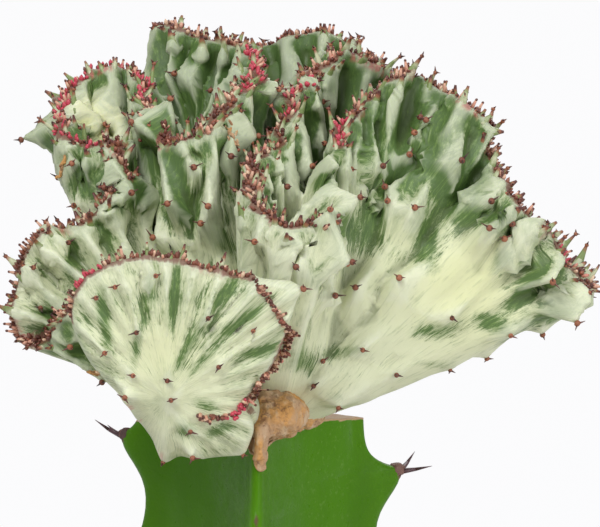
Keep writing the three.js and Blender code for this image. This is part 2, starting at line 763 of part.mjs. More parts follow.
function pot() {
  const shoulder = POT_HEIGHT - RIM_HEIGHT;
  const body = lathe([
    [0, 0],
    [POT_FOOT_RADIUS, 0],
    [potRadiusAt(shoulder), shoulder],
    [POT_TOP_RADIUS, shoulder + 1],
    [POT_TOP_RADIUS + 0.6, POT_HEIGHT - 1.5],
    [POT_TOP_RADIUS - 0.6, POT_HEIGHT],
    [POT_TOP_RADIUS - POT_WALL, POT_HEIGHT],
    [potRadiusAt(shoulder) - POT_WALL, shoulder],
    [potRadiusAt(POT_FLOOR) - POT_WALL, POT_FLOOR],
    [0, POT_FLOOR],
  ], 40);
  const drains = [0, 1, 2].map((k) => {
    const turn = (2 * Math.PI * k) / 3 + Math.PI / 2;
    const drain = new THREE.Vector3(DRAIN_CIRCLE * Math.cos(turn), DRAIN_CIRCLE * Math.sin(turn), 0);
    const corners = [];
    for (const z of [-1, POT_FLOOR + 1]) {
      for (let side = 0; side < 14; side += 1) {
        const angle = (2 * Math.PI * side) / 14;
        corners.push(new THREE.Vector3(
          drain.x + DRAIN_RADIUS * Math.cos(angle),
          drain.y + DRAIN_RADIUS * Math.sin(angle),
          z,
        ));
      }
    }
    const low = drain.clone().setZ(-1);
    const high = drain.clone().setZ(POT_FLOOR + 1);
    return closedSkin(low, [corners.slice(0, 14), corners.slice(14)], high);
  });
  return body.subtract(uniteAll(drains));
}

function soil() {
  const wallAt = (z) => potRadiusAt(z) - POT_WALL - SEAT_GAP;
  const floor = SOIL_TOP - SOIL_DEPTH;
  return lathe([
    [0, floor],
    [wallAt(floor), floor],
    [wallAt(SOIL_TOP - 8), SOIL_TOP - 8],
    [wallAt(SOIL_TOP - 2), SOIL_TOP - 2],
    [wallAt(SOIL_TOP) * 0.8, SOIL_TOP - 0.5],
    [0, SOIL_TOP],
  ], 36);
}

function named(name, solid, height, color, roughness) {
  const material = new THREE.MeshStandardMaterial({ color, roughness, metalness: 0 });
  const mesh = new THREE.Mesh(toGeometry(solid), material);
  mesh.name = name;
  mesh.position.z = height;
  return mesh;
}

const stem = withoutSlivers(rootstock().add(stemSpines()), SHORTEST_EDGE / 2);
const stemSeat = rootstock(SEAT_GAP);
const union = withoutSlivers(outerSkin(callus().subtract(stemSeat)), SHORTEST_EDGE);
const crown = withoutSlivers(
  outerSkin(crest().subtract(uniteAll([stemSeat, callus(SEAT_GAP)]))),
  SHORTEST_EDGE,
);
const earth = withoutSlivers(
  soil().subtract(rootstock(SEAT_GAP).translate([0, 0, GRAFT_HEIGHT])),
  SHORTEST_EDGE,
);

const plant = new THREE.Group();
plant.add(named("pot", pot(), 0, 0xb5653f, 0.85));
plant.add(named("soil", earth, 0, 0x3f2c20, 0.95));
plant.add(named("rootstock", stem, GRAFT_HEIGHT, 0x4e8a1c, 0.45));
plant.add(named("graft_callus", union, GRAFT_HEIGHT, 0xbe9164, 0.8));
plant.add(named("crest", crown, GRAFT_HEIGHT, 0xd6e0be, 0.5));

export default plant;
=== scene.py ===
"""Looks of a potted coral cactus.

A crested, variegated succulent grows on the cut top of a green three-winged
stem, which stands in a plain clay pot. The crest is measured in millimetres
from the graft union; every mesh is written in metres, in the part's own frame.
"""

import logging
import math
import random
from dataclasses import dataclass, field
from enum import Enum

import bmesh
import bpy
import numpy as np
from mathutils import Matrix, Vector, noise
from mathutils.bvhtree import BVHTree
from mathutils.interpolate import poly_3d_calc
from mathutils.kdtree import KDTree


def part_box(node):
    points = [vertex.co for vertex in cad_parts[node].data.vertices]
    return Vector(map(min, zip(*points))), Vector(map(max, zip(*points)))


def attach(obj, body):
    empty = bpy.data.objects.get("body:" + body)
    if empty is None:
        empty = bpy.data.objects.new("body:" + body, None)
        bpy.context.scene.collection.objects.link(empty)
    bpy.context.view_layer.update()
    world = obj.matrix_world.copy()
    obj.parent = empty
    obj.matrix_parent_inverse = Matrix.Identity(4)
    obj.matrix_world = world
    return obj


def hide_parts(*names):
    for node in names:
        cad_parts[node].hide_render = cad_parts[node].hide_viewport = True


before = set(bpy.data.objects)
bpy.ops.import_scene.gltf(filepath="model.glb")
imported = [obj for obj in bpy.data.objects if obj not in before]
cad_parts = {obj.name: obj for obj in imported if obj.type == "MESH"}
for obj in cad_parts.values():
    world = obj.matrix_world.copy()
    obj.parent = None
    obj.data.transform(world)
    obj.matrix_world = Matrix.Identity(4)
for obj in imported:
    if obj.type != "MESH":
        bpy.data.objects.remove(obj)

LOG = logging.getLogger("coral_cactus")
MM = 0.001
GRAFT_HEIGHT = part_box("rootstock")[1].z

Array = np.ndarray
Colour = tuple[float, float, float]


class Slot(Enum):
    """Material slots of the record."""

    CLAY = "clay"
    SOIL = "soil"
    STEM = "green_stem"
    CALLUS = "callus"
    FLESH = "crest_flesh"


@dataclass(frozen=True)
class Eye:
    """The eye that sees the plant as the picture does, in mm from the graft.

    A reading is across, up and deep: across and up as they are seen on a plane
    through the graft union, and deep is the distance behind that plane.
    """

    distance: float = 1000.0
    pitch: float = math.radians(8.0)
    across: float = 8.9
    up: float = 33.8
    pixel: float = 0.2218
    union_pixel: tuple[float, float] = (260.0, 416.0)

    @property
    def target(self) -> Vector:
        """Point that the eye looks at."""
        return Vector((self.across, 0.0, self.up / math.cos(self.pitch)))

    @property
    def place_of_eye(self) -> Vector:
        """Where the eye stands."""
        back = Vector((0.0, -math.cos(self.pitch), math.sin(self.pitch)))
        return self.target + back * self.distance

    def place(self, reading: tuple[float, float, float]) -> Array:
        """Turns a reading into a point in the graft's frame.

        Args:
            reading: across, up and deep in mm.

        Returns:
            The point as an array of three numbers, in mm.
        """
        across, up, deep = reading
        spread = 1.0 + deep / self.distance
        level = self.up / math.cos(self.pitch)
        rise = (up - self.up) * spread - deep * math.sin(self.pitch)
        x = self.across + (across - self.across) * spread
        return np.array((x, deep, level + rise / math.cos(self.pitch)))

    def from_pixel(self, pixel: tuple[float, float]) -> tuple[float, float]:
        """Across and up, in mm, of a place in the picture.

        Args:
            pixel: the place, counted right and down from the picture's corner.

        Returns:
            Across and up.
        """
        return (
            (pixel[0] - self.union_pixel[0]) * self.pixel,
            (self.union_pixel[1] - pixel[1]) * self.pixel,
        )

    def sight(self, across: float, up: float) -> tuple[Vector, Vector]:
        """Line of sight through a place on the picture plane.

        Args:
            across: distance to the right, in mm.
            up: distance up, in mm.

        Returns:
            Where the line starts, and its unit direction.
        """
        upward = Vector((0.0, math.sin(self.pitch), math.cos(self.pitch)))
        seen = self.target + Vector((across - self.across, 0.0, 0.0))
        seen += upward * (up - self.up)
        start = self.place_of_eye
        return start, (seen - start).normalized()

    def seen_at(self, point: Vector) -> tuple[float, float]:
        """Across and up at which a point is seen, in mm.

        Args:
            point: the point, in mm.

        Returns:
            Across and up.
        """
        upward = Vector((0.0, math.sin(self.pitch), math.cos(self.pitch)))
        forward = Vector((0.0, math.cos(self.pitch), -math.sin(self.pitch)))
        way = point - self.place_of_eye
        way *= self.distance / way.dot(forward)
        return self.across + way.x, self.up + way.dot(upward)

    def seen_all(self, places: Array) -> tuple[Array, Array]:
        """Across and up at which many points are seen, in mm.

        Args:
            places: the points, one a row.

        Returns:
            Across and up of each.
        """
        way = places - np.array(self.place_of_eye)
        forward = np.array((0.0, math.cos(self.pitch), -math.sin(self.pitch)))
        upward = np.array((0.0, math.sin(self.pitch), math.cos(self.pitch)))
        scale = self.distance / (way @ forward)
        return self.across + way[:, 0] * scale, self.up + (way @ upward) * scale

    def beside_sight(
        self, wanted: tuple[float, float], places: Array
    ) -> tuple[Array, Array, Array, Array]:
        """How points lie beside the line of sight through a place on the picture plane.

        Args:
            wanted: across and up of the place.
            places: the points, one a row.

        Returns:
            Start and direction of the line, how far along it each point lies, and how far off it.
        """
        start, way = (np.array(part) for part in self.sight(*wanted))
        offset = places - start
        run = offset @ way
        return start, way, run, np.linalg.norm(offset - run[:, None] * way, axis=1)


EYE = Eye()


@dataclass(frozen=True)
class Lobe:
    """One lobe of the winding margin: where its growth lines fan out from, and its margin."""

    name: str
    hub: tuple[float, float, float]
    margin: tuple[tuple[float, float, float], ...]


LOBES = (
    Lobe(
        "lower left",
        (-29, 13, -19),
        (
            (-41, 25.5, -31), (-44, 21, -26), (-47, 17.5, -23), (-50, 15.5, -22),
            (-53, 18, -21), (-54.3, 23, -20), (-53.5, 28, -19), (-52, 33.5, -18),
            (-48.5, 38.5, -17), (-43, 40.5, -16), (-37.5, 43, -14), (-34, 47, -11),
        ),
    ),
    Lobe(
        "upper left cup",
        (-33, 33, 4),
        (
            (-31, 50, -9), (-30, 54, -7), (-31, 58, -5), (-33.5, 60, -3), (-37.5, 59.5, -2),
            (-41, 60, -1), (-43.3, 62.5, 2), (-43.8, 66, 7), (-42.5, 69.5, 12),
            (-39.5, 73, 16), (-35, 76, 18), (-30, 76, 19), (-26.5, 74.5, 16),
        ),
    ),
    Lobe(
        "middle left",
        (-13, 33, -6),
        (
            (-25.5, 71, 10), (-24.5, 66, 3), (-22, 62, -4), (-18, 59.5, -9), (-15, 61, -10),
            (-11.5, 63, -8), (-8, 67.5, -4), (-4.5, 71.5, 2), (-1, 73.5, 8), (-1, 77, 14),
        ),
    ),
    Lobe(
        "tower",
        (-14, 50, 24),
        (
            (-2.5, 80, 20), (-6, 81.3, 24), (-10.5, 82.3, 26), (-15, 83.3, 27), (-19, 85.3, 28),
            (-21.3, 86, 31), (-21, 83.5, 37), (-17.5, 82, 42), (-12, 81.5, 44),
        ),
    ),
    Lobe(
        "back rim",
        (11, 46, 24),
        (
            (-6, 81.5, 43), (0, 81, 40), (5, 82.5, 37), (10, 84, 36), (15, 84, 36),
            (20.5, 81, 34), (25.5, 78, 31), (28, 75.5, 26), (26, 76.5, 21), (21.5, 79.5, 19),
            (17, 79, 17), (13.5, 77, 14), (11, 73.5, 10), (9, 70.5, 6), (7, 68, 2),
        ),
    ),
    Lobe(
        "front bowl",
        (3, 17, -25),
        (
            (5, 63.5, -2), (3.5, 58.5, -6), (0.5, 57, -10), (-1.5, 54.5, -15),
            (-1.8, 50.5, -19), (-0.7, 46.5, -24), (2.5, 43, -28), (7, 41.2, -30.5),
            (11.5, 41, -30), (15, 42, -27), (16.5, 45, -22), (15, 49.5, -17), (15, 54, -12),
        ),
    ),
    Lobe(
        "right wall",
        (17, 9, -13),
        (
            (17, 59, -7), (18.5, 63, -3), (21, 67, 1), (25, 70, 4), (28.5, 73, 5),
            (32, 75, 6), (34.5, 74.5, 12), (38, 72.5, 13), (41.5, 70.5, 6), (45.5, 68.5, 1),
            (49, 65.5, 1), (50.5, 61, 5), (50.5, 57, 2), (52.5, 52, -4), (54.5, 48.5, -8),
            (58.5, 44, -8),
        ),
    ),
    Lobe(
        "right tip",
        (33, 12, -6),
        (
            (62.5, 39, -7), (66, 34.5, -6), (70, 31, -5), (73, 28, -3), (73, 29, 3),
            (69, 32, 9), (64, 37, 14),
        ),
    ),
    Lobe(
        "right back",
        (22, 20, 16),
        (
            (58.5, 42, 18), (53, 48, 22), (48, 54, 25), (43, 60, 27), (37, 64, 30),
            (32, 65, 35), (29, 63, 40),
        ),
    ),
    Lobe(
        "back wall",
        (-6, 18, 26),
        (
            (25, 60, 40), (20, 61, 46), (14, 61, 50), (8, 62, 46), (3, 63, 40), (-3, 63, 40),
            (-8, 62, 46), (-13, 60, 51), (-19, 58, 49), (-24, 56, 42), (-29, 52, 38),
            (-34, 48, 37), (-38, 43, 31), (-39, 38, 24),
        ),
    ),
)

# Stretch of the margin that has grown together and bears no buds, by station:
# the link between the front bowl and the right wall.
HEALED_STATIONS = (68.3, 71.9)

# Heights of the cuts across the peg that a young tooth is bent from.
HORN_CUTS = (0.2, 0.4, 0.6, 0.8, 0.93)


@dataclass(frozen=True)
class TeethSeen:
    """Teeth of one part of the crest, by the pixel where each tip is seen."""

    name: str
    height: float
    width: float
    pixels: tuple[tuple[int, int], ...]


@dataclass(frozen=True)
class GreenPatch:
    """A long green patch of the flesh, by where it is seen on the picture plane, in mm."""

    across: float
    up: float
    length: float
    width: float
    slope: float


GREEN_PATCHES = tuple(
    GreenPatch(*sizes)
    for sizes in (
        (25.3, 42.4, 5.5, 2.0, 70), (37, 38.8, 7.5, 2.3, 104), (53.5, 34.8, 3.2, 1.4, 50),
        (38.4, 19.1, 8, 1.8, 10), (52.1, 20.2, 5, 1.7, 150), (37.5, 11.5, 5, 1, 175),
        (9.8, 12, 4.5, 2.3, 0), (20.2, 14.4, 4.5, 1.8, 0), (16.9, 4, 2.5, 1.4, 0),
        (22.8, 62.8, 4.5, 2.6, 90), (31.1, 55.5, 7, 3, 60), (37.7, 66.8, 7, 2.8, 80),
        (41.5, 50.8, 5.5, 2.2, 80), (18.9, 42.8, 3.2, 1.8, 100), (47.9, 53.9, 4.5, 2, 70),
        (46.4, 45.9, 3.2, 2.4, 45), (53.2, 42.8, 2.5, 2, 45), (64.8, 22.2, 5.5, 1.3, 20),
        (61.2, 30.2, 4, 2, 45), (13.8, 52.3, 3.2, 1.4, 90), (57, 26, 4, 1, 40),
        (-18.9, 53.5, 5, 1.1, 90), (-17.5, 45.2, 3.2, 1.8, 150), (-9.1, 39.7, 4.5, 1.4, 130),
        (-24.4, 59.7, 4.5, 2.6, 90), (-39, 53.5, 3.2, 1, 90), (-34.2, 50.8, 2.8, 1.8, 90),
        (-50.1, 56.3, 4.5, 1.8, 110), (-26.6, 49.2, 3.2, 2.2, 90), (-6.4, 59, 3.6, 1.4, 80),
        (2, 64.5, 4.5, 1.8, 80), (-18.9, 71.4, 6.5, 2.6, 90), (-22.4, 81.2, 5.5, 1.4, 90),
        (-9.1, 81.2, 3.4, 1.2, 90), (-13.3, 73.6, 3.2, 1.8, 0), (-40.4, 13.5, 6.2, 1.3, 118),
        (-34.4, 21.3, 5.8, 0.9, 100), (-27.3, 15.5, 5, 1, 82), (-24.4, 28.8, 4.4, 0.9, 85),
        (-16.2, 14.9, 6.2, 1, 60), (-18.9, 27.5, 5.4, 0.8, 84), (-7.8, 27.5, 4.4, 0.8, 55),
        (-13.3, 11.5, 4.4, 0.9, 45), (-3.5, 21.1, 5.4, 1, 35), (-0.9, 14.2, 4, 0.8, 15),
        (-12.6, 2.4, 2.8, 1.3, 160), (-41.7, 34.4, 2.6, 0.8, 80), (-45.2, 21.3, 3.2, 2, 160),
        (-45.9, 14.9, 3.2, 1.3, 160), (-16.2, -3.1, 2.4, 1.1, 20), (-9.1, -3.1, 2.6, 1, 20),
    )
)

# Dry spots of the front: line across and up, number of flakes, spread and size, in mm.
DRY_SPOTS = (
    (((-45, 11.2), (-41.5, 10.2), (-38, 9.4), (-35.8, 9.6)), 26, 0.12, 0.55),
    (((-43.2, 57.5), (-43.9, 55), (-44.3, 53)), 12, 0.15, 0.6),
    (((-6.8, 64), (-6.4, 62.5), (-5.8, 61)), 16, 0.7, 0.5),
)

# Where the buds are crimson: across and up on the picture plane and radius, in mm.
CRIMSON_SPOTS = (
    (-43, 64, 8), (-35, 75.5, 7), (-26, 73.5, 3.5), (-2, 77, 5), (9, 70, 5), (18, 61, 5),
    (64, 35.5, 5), (-38.5, 31, 4), (-5, 1.5, 3),
)

# Soft round patches seen from the front: across, up and radius in mm, and weight.
PALE_SPOTS = ((43, 27, 13, 0.34), (-15, 3, 10, 0.15))
YELLOW_SPOTS = ((46, 29, 13, 0.55), (-21, 14, 9, 0.35))

# The yellow inside of the cup: across, up and radius on the picture plane, in mm.
YELLOW_CUP = (-36.5, 66, 7)

# The frill of the fan's right edge and its crease, across and up on the picture plane, in mm.
FRILL = (
    (-2.5, 31), (1.3, 25.3), (4, 21.1), (6, 18.2), (5.3, 15.3), (4, 12.9), (2.2, 10.2), (0.4, 8),
    (-1.8, 5.1), (-3.5, 3.1), (-5.3, 1.3), (-7.1, 0.4), (-9.8, 0), (-12.4, 0.2), (-14.9, 0.9),
)

FACE_TEETH = (
    TeethSeen(
        "fan", 1.9, 3.0,
        (
            (114, 284), (96, 297), (154, 275), (107, 346), (137, 333), (208, 320), (216, 364),
            (163, 384), (131, 374), (172, 405), (189, 432), (253, 332),
        ),
    ),
    TeethSeen("fan foot", 4.0, 3.0, ((124, 395), (163, 463), (191, 458), (242, 453))),
    TeethSeen("lower left", 2.8, 3.0, ((56, 250), (47, 298), (36, 268))),
    TeethSeen("left shoulder", 10.0, 7.0, ((21, 140),)),
    TeethSeen("left", 5.0, 4.4, ((46, 222), (84, 165), (98, 183), (81, 205))),
    TeethSeen(
        "middle", 7.2, 5.2,
        (
            (157, 205), (205, 175), (201, 224), (132, 193), (227, 202), (226, 159),
            (206, 74), (154, 123), (141, 123), (165, 240),
        ),
    ),
    TeethSeen(
        "bowl", 5.6, 4.8,
        (
            (309, 164), (287, 188), (335, 210), (360, 212), (356, 165), (370, 163),
            (261, 243), (290, 266), (342, 261), (322, 298), (354, 289), (396, 209),
        ),
    ),
    TeethSeen("bowl chin", 9.5, 9.0, ((289, 311),)),
    TeethSeen(
        "back wall", 4.4, 3.6,
        ((271, 94), (281, 93), (296, 70), (293, 82), (327, 106), (320, 141)),
    ),
    TeethSeen(
        "right wall", 6.3, 5.2,
        (
            (389, 152), (419, 136), (425, 125), (445, 158), (447, 135), (416, 212), (403, 198),
            (484, 197), (492, 232), (516, 237), (534, 258), (520, 266), (564, 297), (400, 278),
        ),
    ),
    TeethSeen(
        "right skirt", 2.4, 4.0,
        (
            (512, 334), (450, 319), (359, 351), (320, 364), (452, 368), (395, 376),
            (314, 387), (334, 408),
        ),
    ),
)

MARGIN_TEETH = (
    TeethSeen(
        "tower", 4.0, 1.5,
        ((152, 27), (164, 44), (221, 26), (233, 33), (207, 27), (196, 30), (183, 25)),
    ),
    TeethSeen(
        "upper left", 4.5, 1.6,
        ((45, 91), (64, 73), (85, 61), (98, 61), (117, 57), (134, 61), (141, 70), (155, 59)),
    ),
    TeethSeen(
        "lower left", 3.0, 1.3,
        ((34, 236), (21, 256), (5, 305), (13, 322), (15, 342), (26, 350)),
    ),
    TeethSeen(
        "fan rim", 3.2, 1.2,
        (
            (101, 254), (118, 249), (132, 251), (147, 242), (158, 250), (172, 251),
            (185, 244), (226, 252), (251, 273), (82, 269), (67, 292),
        ),
    ),
    TeethSeen(
        "back", 4.0, 1.5,
        (
            (289, 33), (297, 37), (306, 32), (326, 33), (343, 31), (356, 52), (368, 56),
            (377, 63), (383, 72), (273, 47),
        ),
    ),
    TeethSeen(
        "right", 4.2, 1.5,
        (
            (385, 71), (402, 65), (414, 76), (428, 79), (445, 86), (455, 98), (464, 103),
            (478, 110), (493, 114), (504, 132), (502, 153), (505, 164), (517, 181), (525, 193),
            (534, 208), (549, 221), (557, 222), (576, 234), (587, 245), (594, 282),
            (590, 297), (571, 318),
        ),
    ),
)


def smooth_step(value: Array | float, low: float, high: float) -> Array:
    """Smooth rise from 0 at low to 1 at high."""
    share = np.clip((np.asarray(value, float) - low) / (high - low), 0.0, 1.0)
    return share * share * (3.0 - 2.0 * share)


def unit(vectors: Array) -> Array:
    """The same directions with length one."""
    length = np.linalg.norm(vectors, axis=-1, keepdims=True)
    return vectors / np.maximum(length, 1e-9)


def smoothed_along(values: Array, spread: float) -> Array:
    """Gaussian smoothing along the first axis.

    Args:
        values: rows to smooth.
        spread: standard deviation in rows.

    Returns:
        The smoothed rows.
    """
    reach = int(math.ceil(spread * 3))
    weights = np.exp(-0.5 * (np.arange(-reach, reach + 1) / spread) ** 2)
    weights /= weights.sum()
    padded = np.concatenate([values[:1].repeat(reach, 0), values, values[-1:].repeat(reach, 0)])
    total = np.zeros_like(values, dtype=float)
    for k, weight in enumerate(weights):
        total += weight * padded[k : k + len(values)]
    return total


def reading_at(line: tuple[tuple[float, float], ...], at: float) -> tuple[float, float]:
    """Point of a broken line on the picture plane."""
    across, up = (float(np.interp(at, range(len(line)), values)) for values in zip(*line))
    return across, up


def in_metres(height: float = GRAFT_HEIGHT) -> Matrix:
    """Turns places in mm into places in metres."""
    return Matrix.Translation((0, 0, height)) @ Matrix.Scale(MM, 4)


def corner_places(mesh: bpy.types.Mesh) -> Array:
    """Places of a mesh's vertices.

    Args:
        mesh: the mesh.

    Returns:
        The places, one a row.
    """
    flat = np.empty(len(mesh.vertices) * 3)
    mesh.vertices.foreach_get("co", flat)
    return flat.reshape(-1, 3)


def search_tree(mesh: bpy.types.Mesh) -> BVHTree:
    """Search tree of a mesh."""
    corners = [vert.co.copy() for vert in mesh.vertices]
    return BVHTree.FromPolygons(corners, [polygon.vertices for polygon in mesh.polygons])


def neighbour_mean(values: Array, edges: Array) -> Array:
    """Mean of the neighbours of each vertex.

    Args:
        values: three numbers for each vertex.
        edges: the two vertices of each edge.

    Returns:
        The means.
    """
    count = len(values)
    first, second = edges[:, 0], edges[:, 1]
    total = np.stack(
        [
            np.bincount(first, values[second, axis], count)
            + np.bincount(second, values[first, axis], count)
            for axis in range(values.shape[1])
        ],
        axis=1,
    )
    degree = np.bincount(edges.ravel(), minlength=count)[:, None]
    return total / np.maximum(degree, 1)


def add_wrapped_grid(
    bm: bmesh.types.BMesh,
    rings: Array,
    marks: dict[str, Array],
    closed_rows: bool = False,
) -> None:
    """Adds a skin of closed rings, one beside the other.

    Args:
        bm: mesh that takes the skin.
        rings: places in mm, shaped ring by place in the ring by three.
        marks: vectors to store with each place, by name of their layer.
        closed_rows: whether the last ring joins the first one.
    """

    def wrapped(values: Array) -> Array:
        """Repeats the first place of each ring, and the first ring where the rows close."""
        values = np.concatenate([values, values[:, :1]], axis=1)
        return np.concatenate([values, values[:1]], axis=0) if closed_rows else values

    layers = bm.verts.layers.float_vector
    for name in marks:
        if name not in layers.keys():
            layers.new(name)
    places = wrapped(rings)
    rows, around = places.shape[:2]
    made = bmesh.ops.create_grid(bm, x_segments=around - 1, y_segments=rows - 1, size=1.0)
    for vert, place in zip(made["verts"], places.reshape(-1, 3)):
        vert.co = place
    for name, values in marks.items():
        layer = layers[name]
        for vert, value in zip(made["verts"], wrapped(values).reshape(-1, 3)):
            vert[layer] = value
    bmesh.ops.remove_doubles(bm, verts=made["verts"], dist=1e-4)


@dataclass(frozen=True)
class Form:
    """A small closed form: its corners, and which of them each face joins."""

    corners: Array
    faces: tuple[tuple[int, ...], ...]

    @classmethod
    def read(cls, bm: bmesh.types.BMesh) -> "Form":
        """Reads a form.

        Args:
            bm: what to read; it is freed.

        Returns:
            The form.
        """
        bm.verts.index_update()
        corners = np.array([vert.co for vert in bm.verts])
        faces = tuple(tuple(vert.index for vert in face.verts) for face in bm.faces)
        bm.free()
        return cls(corners, faces)


def ball_form(rounds: int) -> Form:
    """Ball of radius one.

    Args:
        rounds: how often its faces are divided.

    Returns:
        The form.
    """
    bm = bmesh.new()
    bmesh.ops.create_icosphere(bm, subdivisions=rounds, radius=1.0)
    return Form.read(bm)


def peg_form(sides: int, cuts: tuple[float, ...] = ()) -> Form:
    """Upright peg of radius one and height one that stands on its origin.

    Args:
        sides: number of sides.
        cuts: heights of cuts across it, so that it can be bent.

    Returns:
        The form.
    """
    bm = bmesh.new()
    bmesh.ops.create_cone(
        bm,
        cap_ends=True,
        segments=sides,
        radius1=1.0,
        radius2=1.0,
        depth=1.0,
        matrix=Matrix.Translation((0.0, 0.0, 0.5)),
    )
    for cut in cuts:
        geometry = list(bm.verts) + list(bm.edges) + list(bm.faces)
        bmesh.ops.bisect_plane(
            bm, geom=geometry, dist=1e-5, plane_co=(0, 0, cut), plane_no=(0, 0, 1)
        )
    return Form.read(bm)


class Stamps:
    """Many small balls and pegs gathered into one mesh, each with a tone."""

    def __init__(self, rounds: int = 1, sides: int = 8) -> None:
        """Makes the forms.

        Args:
            rounds: how often a ball's faces are divided.
            sides: number of sides of a peg.
        """
        self.ball_form = ball_form(rounds)
        self.peg_form = peg_form(sides)
        self.horn_form = peg_form(sides, HORN_CUTS)
        self.corners: list[Array] = []
        self.faces: list[tuple[int, ...]] = []
        self.tones: list[Array] = []
        self.count = 0

    def _stamp(self, form: Form, corners: Array, tone: float) -> None:
        """Adds one copy of a form.

        Args:
            form: the form.
            corners: its corners, already in place.
            tone: value stored with its corners.
        """
        self.corners.append(corners)
        self.tones.append(np.full(len(corners), tone))
        self.faces += [tuple(self.count + index for index in face) for face in form.faces]
        self.count += len(corners)

    def ball(
        self,
        centre: Vector,
        radii: tuple[float, float, float],
        out: Vector | None = None,
        tone: float = 0.0,
        uneven: float = 0.0,
    ) -> None:
        """Adds a round lump whose third radius lies along a direction.

        Args:
            centre: its middle.
            radii: its three radii.
            out: direction of the third radius.
            tone: value stored with its corners.
            uneven: how far its corners stray, as a share of its radii.
        """
        corners = self.ball_form.corners
        if uneven:
            swell = [1.0 + uneven * noise.noise(Vector(c) * 1.7 + centre * 0.7) for c in corners]
            corners = corners * np.array(swell)[:, None]
        corners = corners * np.array(radii)
        if out is not None:
            corners = corners @ np.array(out.to_track_quat("Z", "Y").to_matrix()).T
        self._stamp(self.ball_form, corners + np.array(centre), tone)

    def peg(
        self, root: Vector, tip: Vector, root_radius: float, tip_radius: float, tone: float = 0.0
    ) -> None:
        """Adds a tapered peg between two points.

        Args:
            root: centre of its base.
            tip: centre of its end.
            root_radius: radius at the base.
            tip_radius: radius at the end.
            tone: value stored with its corners.
        """
        way = tip - root
        corners = self.peg_form.corners.copy()
        radius = root_radius + (tip_radius - root_radius) * corners[:, 2]
        corners[:, 0] *= radius
        corners[:, 1] *= radius
        corners[:, 2] *= way.length
        corners = corners @ np.array(way.to_track_quat("Z", "Y").to_matrix()).T
        self._stamp(self.peg_form, corners + np.array(root), tone)

    def horn(
        self,
        root: Vector,
        tip: Vector,
        across: Vector,
        width: float,
        end: float,
        lean: Vector,
        shift: float,
    ) -> None:
        """Adds a bent, flattened tooth whose tone rises from its root to its tip.

        Args:
            root: centre of its base.
            tip: its end, before it is bent.
            across: direction of its flat side.
            width: half its width at the base.
            end: half its width at the tip.
            lean: how far it is bent.
            shift: added to its tone.
        """
        way = tip - root
        forward = way.normalized()
        flat = (across - forward * across.dot(forward)).normalized()
        side = forward.cross(flat)
        corners = self.horn_form.corners
        rise = corners[:, 2:3]
        radius = end + (width - end) * (1.0 - rise) ** 1.15
        bend = 4.0 * rise * (1.0 - rise) * -0.5 * np.array(lean)
        placed = np.array(root) + rise * np.array(way) + bend
        placed = placed + corners[:, 0:1] * radius * np.array(side)
        placed = placed + corners[:, 1:2] * radius * 0.72 * np.array(flat)
        self._stamp(self.horn_form, placed, 0.0)
        self.tones[-1] = rise[:, 0] + shift

    def mesh(self, name: str, height: float = GRAFT_HEIGHT, scale: float = MM) -> bpy.types.Mesh:
        """Writes everything stamped as one mesh.

        Args:
            name: name of the mesh.
            height: height of the stamps' own origin, in metres.
            scale: size of their unit.

        Returns:
            The new mesh.
        """
        mesh = bpy.data.meshes.new(name)
        places = np.concatenate(self.corners) * scale + np.array((0.0, 0.0, height))
        mesh.from_pydata(places.tolist(), [], self.faces)
        set_attribute(mesh, "tone", np.concatenate(self.tones))
        return mesh


def link_piece(
    name: str,
    mesh: bpy.types.Mesh,
    material: bpy.types.Material,
    smooth: bool = True,
) -> bpy.types.Object:
    """Puts a finished mesh in the scene as a piece that rides with the plant.

    Args:
        name: name of the piece.
        mesh: its mesh, in metres.
        material: its finish.
        smooth: whether its faces are shaded as one surface.

    Returns:
        The new object.
    """
    mesh.name = name
    mesh.materials.clear()
    mesh.materials.append(material)
    mesh.polygons.foreach_set("use_smooth", [smooth] * len(mesh.polygons))
    piece = bpy.data.objects.new(name, mesh)
    bpy.context.scene.collection.objects.link(piece)
    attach(piece, "root")
    return piece


def to_mesh(bm: bmesh.types.BMesh, name: str, height: float = GRAFT_HEIGHT) -> bpy.types.Mesh:
    """Writes a bmesh in mm as a mesh in metres.

    Args:
        bm: what to write; it is freed.
        name: name of the mesh.
        height: height of the bmesh's own origin, in metres.

    Returns:
        The new mesh.
    """
    bmesh.ops.transform(bm, matrix=in_metres(height), verts=bm.verts)
    bmesh.ops.recalc_face_normals(bm, faces=bm.faces)
    mesh = bpy.data.meshes.new(name)
    bm.to_mesh(mesh)
    bm.free()
    return mesh


def with_modifiers(mesh: bpy.types.Mesh, modifiers: list[tuple[str, dict]]) -> bpy.types.Mesh:
    """Runs modifiers on a mesh and returns the result.

    Args:
        mesh: what to start from.
        modifiers: type and settings of each modifier, in order.

    Returns:
        The new mesh.
    """
    carrier = bpy.data.objects.new("carrier", mesh)
    bpy.context.scene.collection.objects.link(carrier)
    for kind, settings in modifiers:
        modifier = carrier.modifiers.new(kind.title(), kind)
        for key, value in settings.items():
            setattr(modifier, key, value)
    graph = bpy.context.evaluated_depsgraph_get()
    result = bpy.data.meshes.new_from_object(carrier.evaluated_get(graph))
    bpy.data.objects.remove(carrier)
    return result


def set_attribute(mesh: bpy.types.Mesh, name: str, values: Array) -> None:
    """Stores a number or a vector for each vertex.

    Args:
        mesh: mesh that takes it.
        name: name of the attribute.
        values: one row for each vertex.
    """
    vector = values.ndim == 2
    kind = "FLOAT_VECTOR" if vector else "FLOAT"
    attribute = mesh.attributes.new(name, kind, "POINT")
    attribute.data.foreach_set("vector" if vector else "value", values.astype(np.float32).ravel())


Socket = bpy.types.NodeSocket


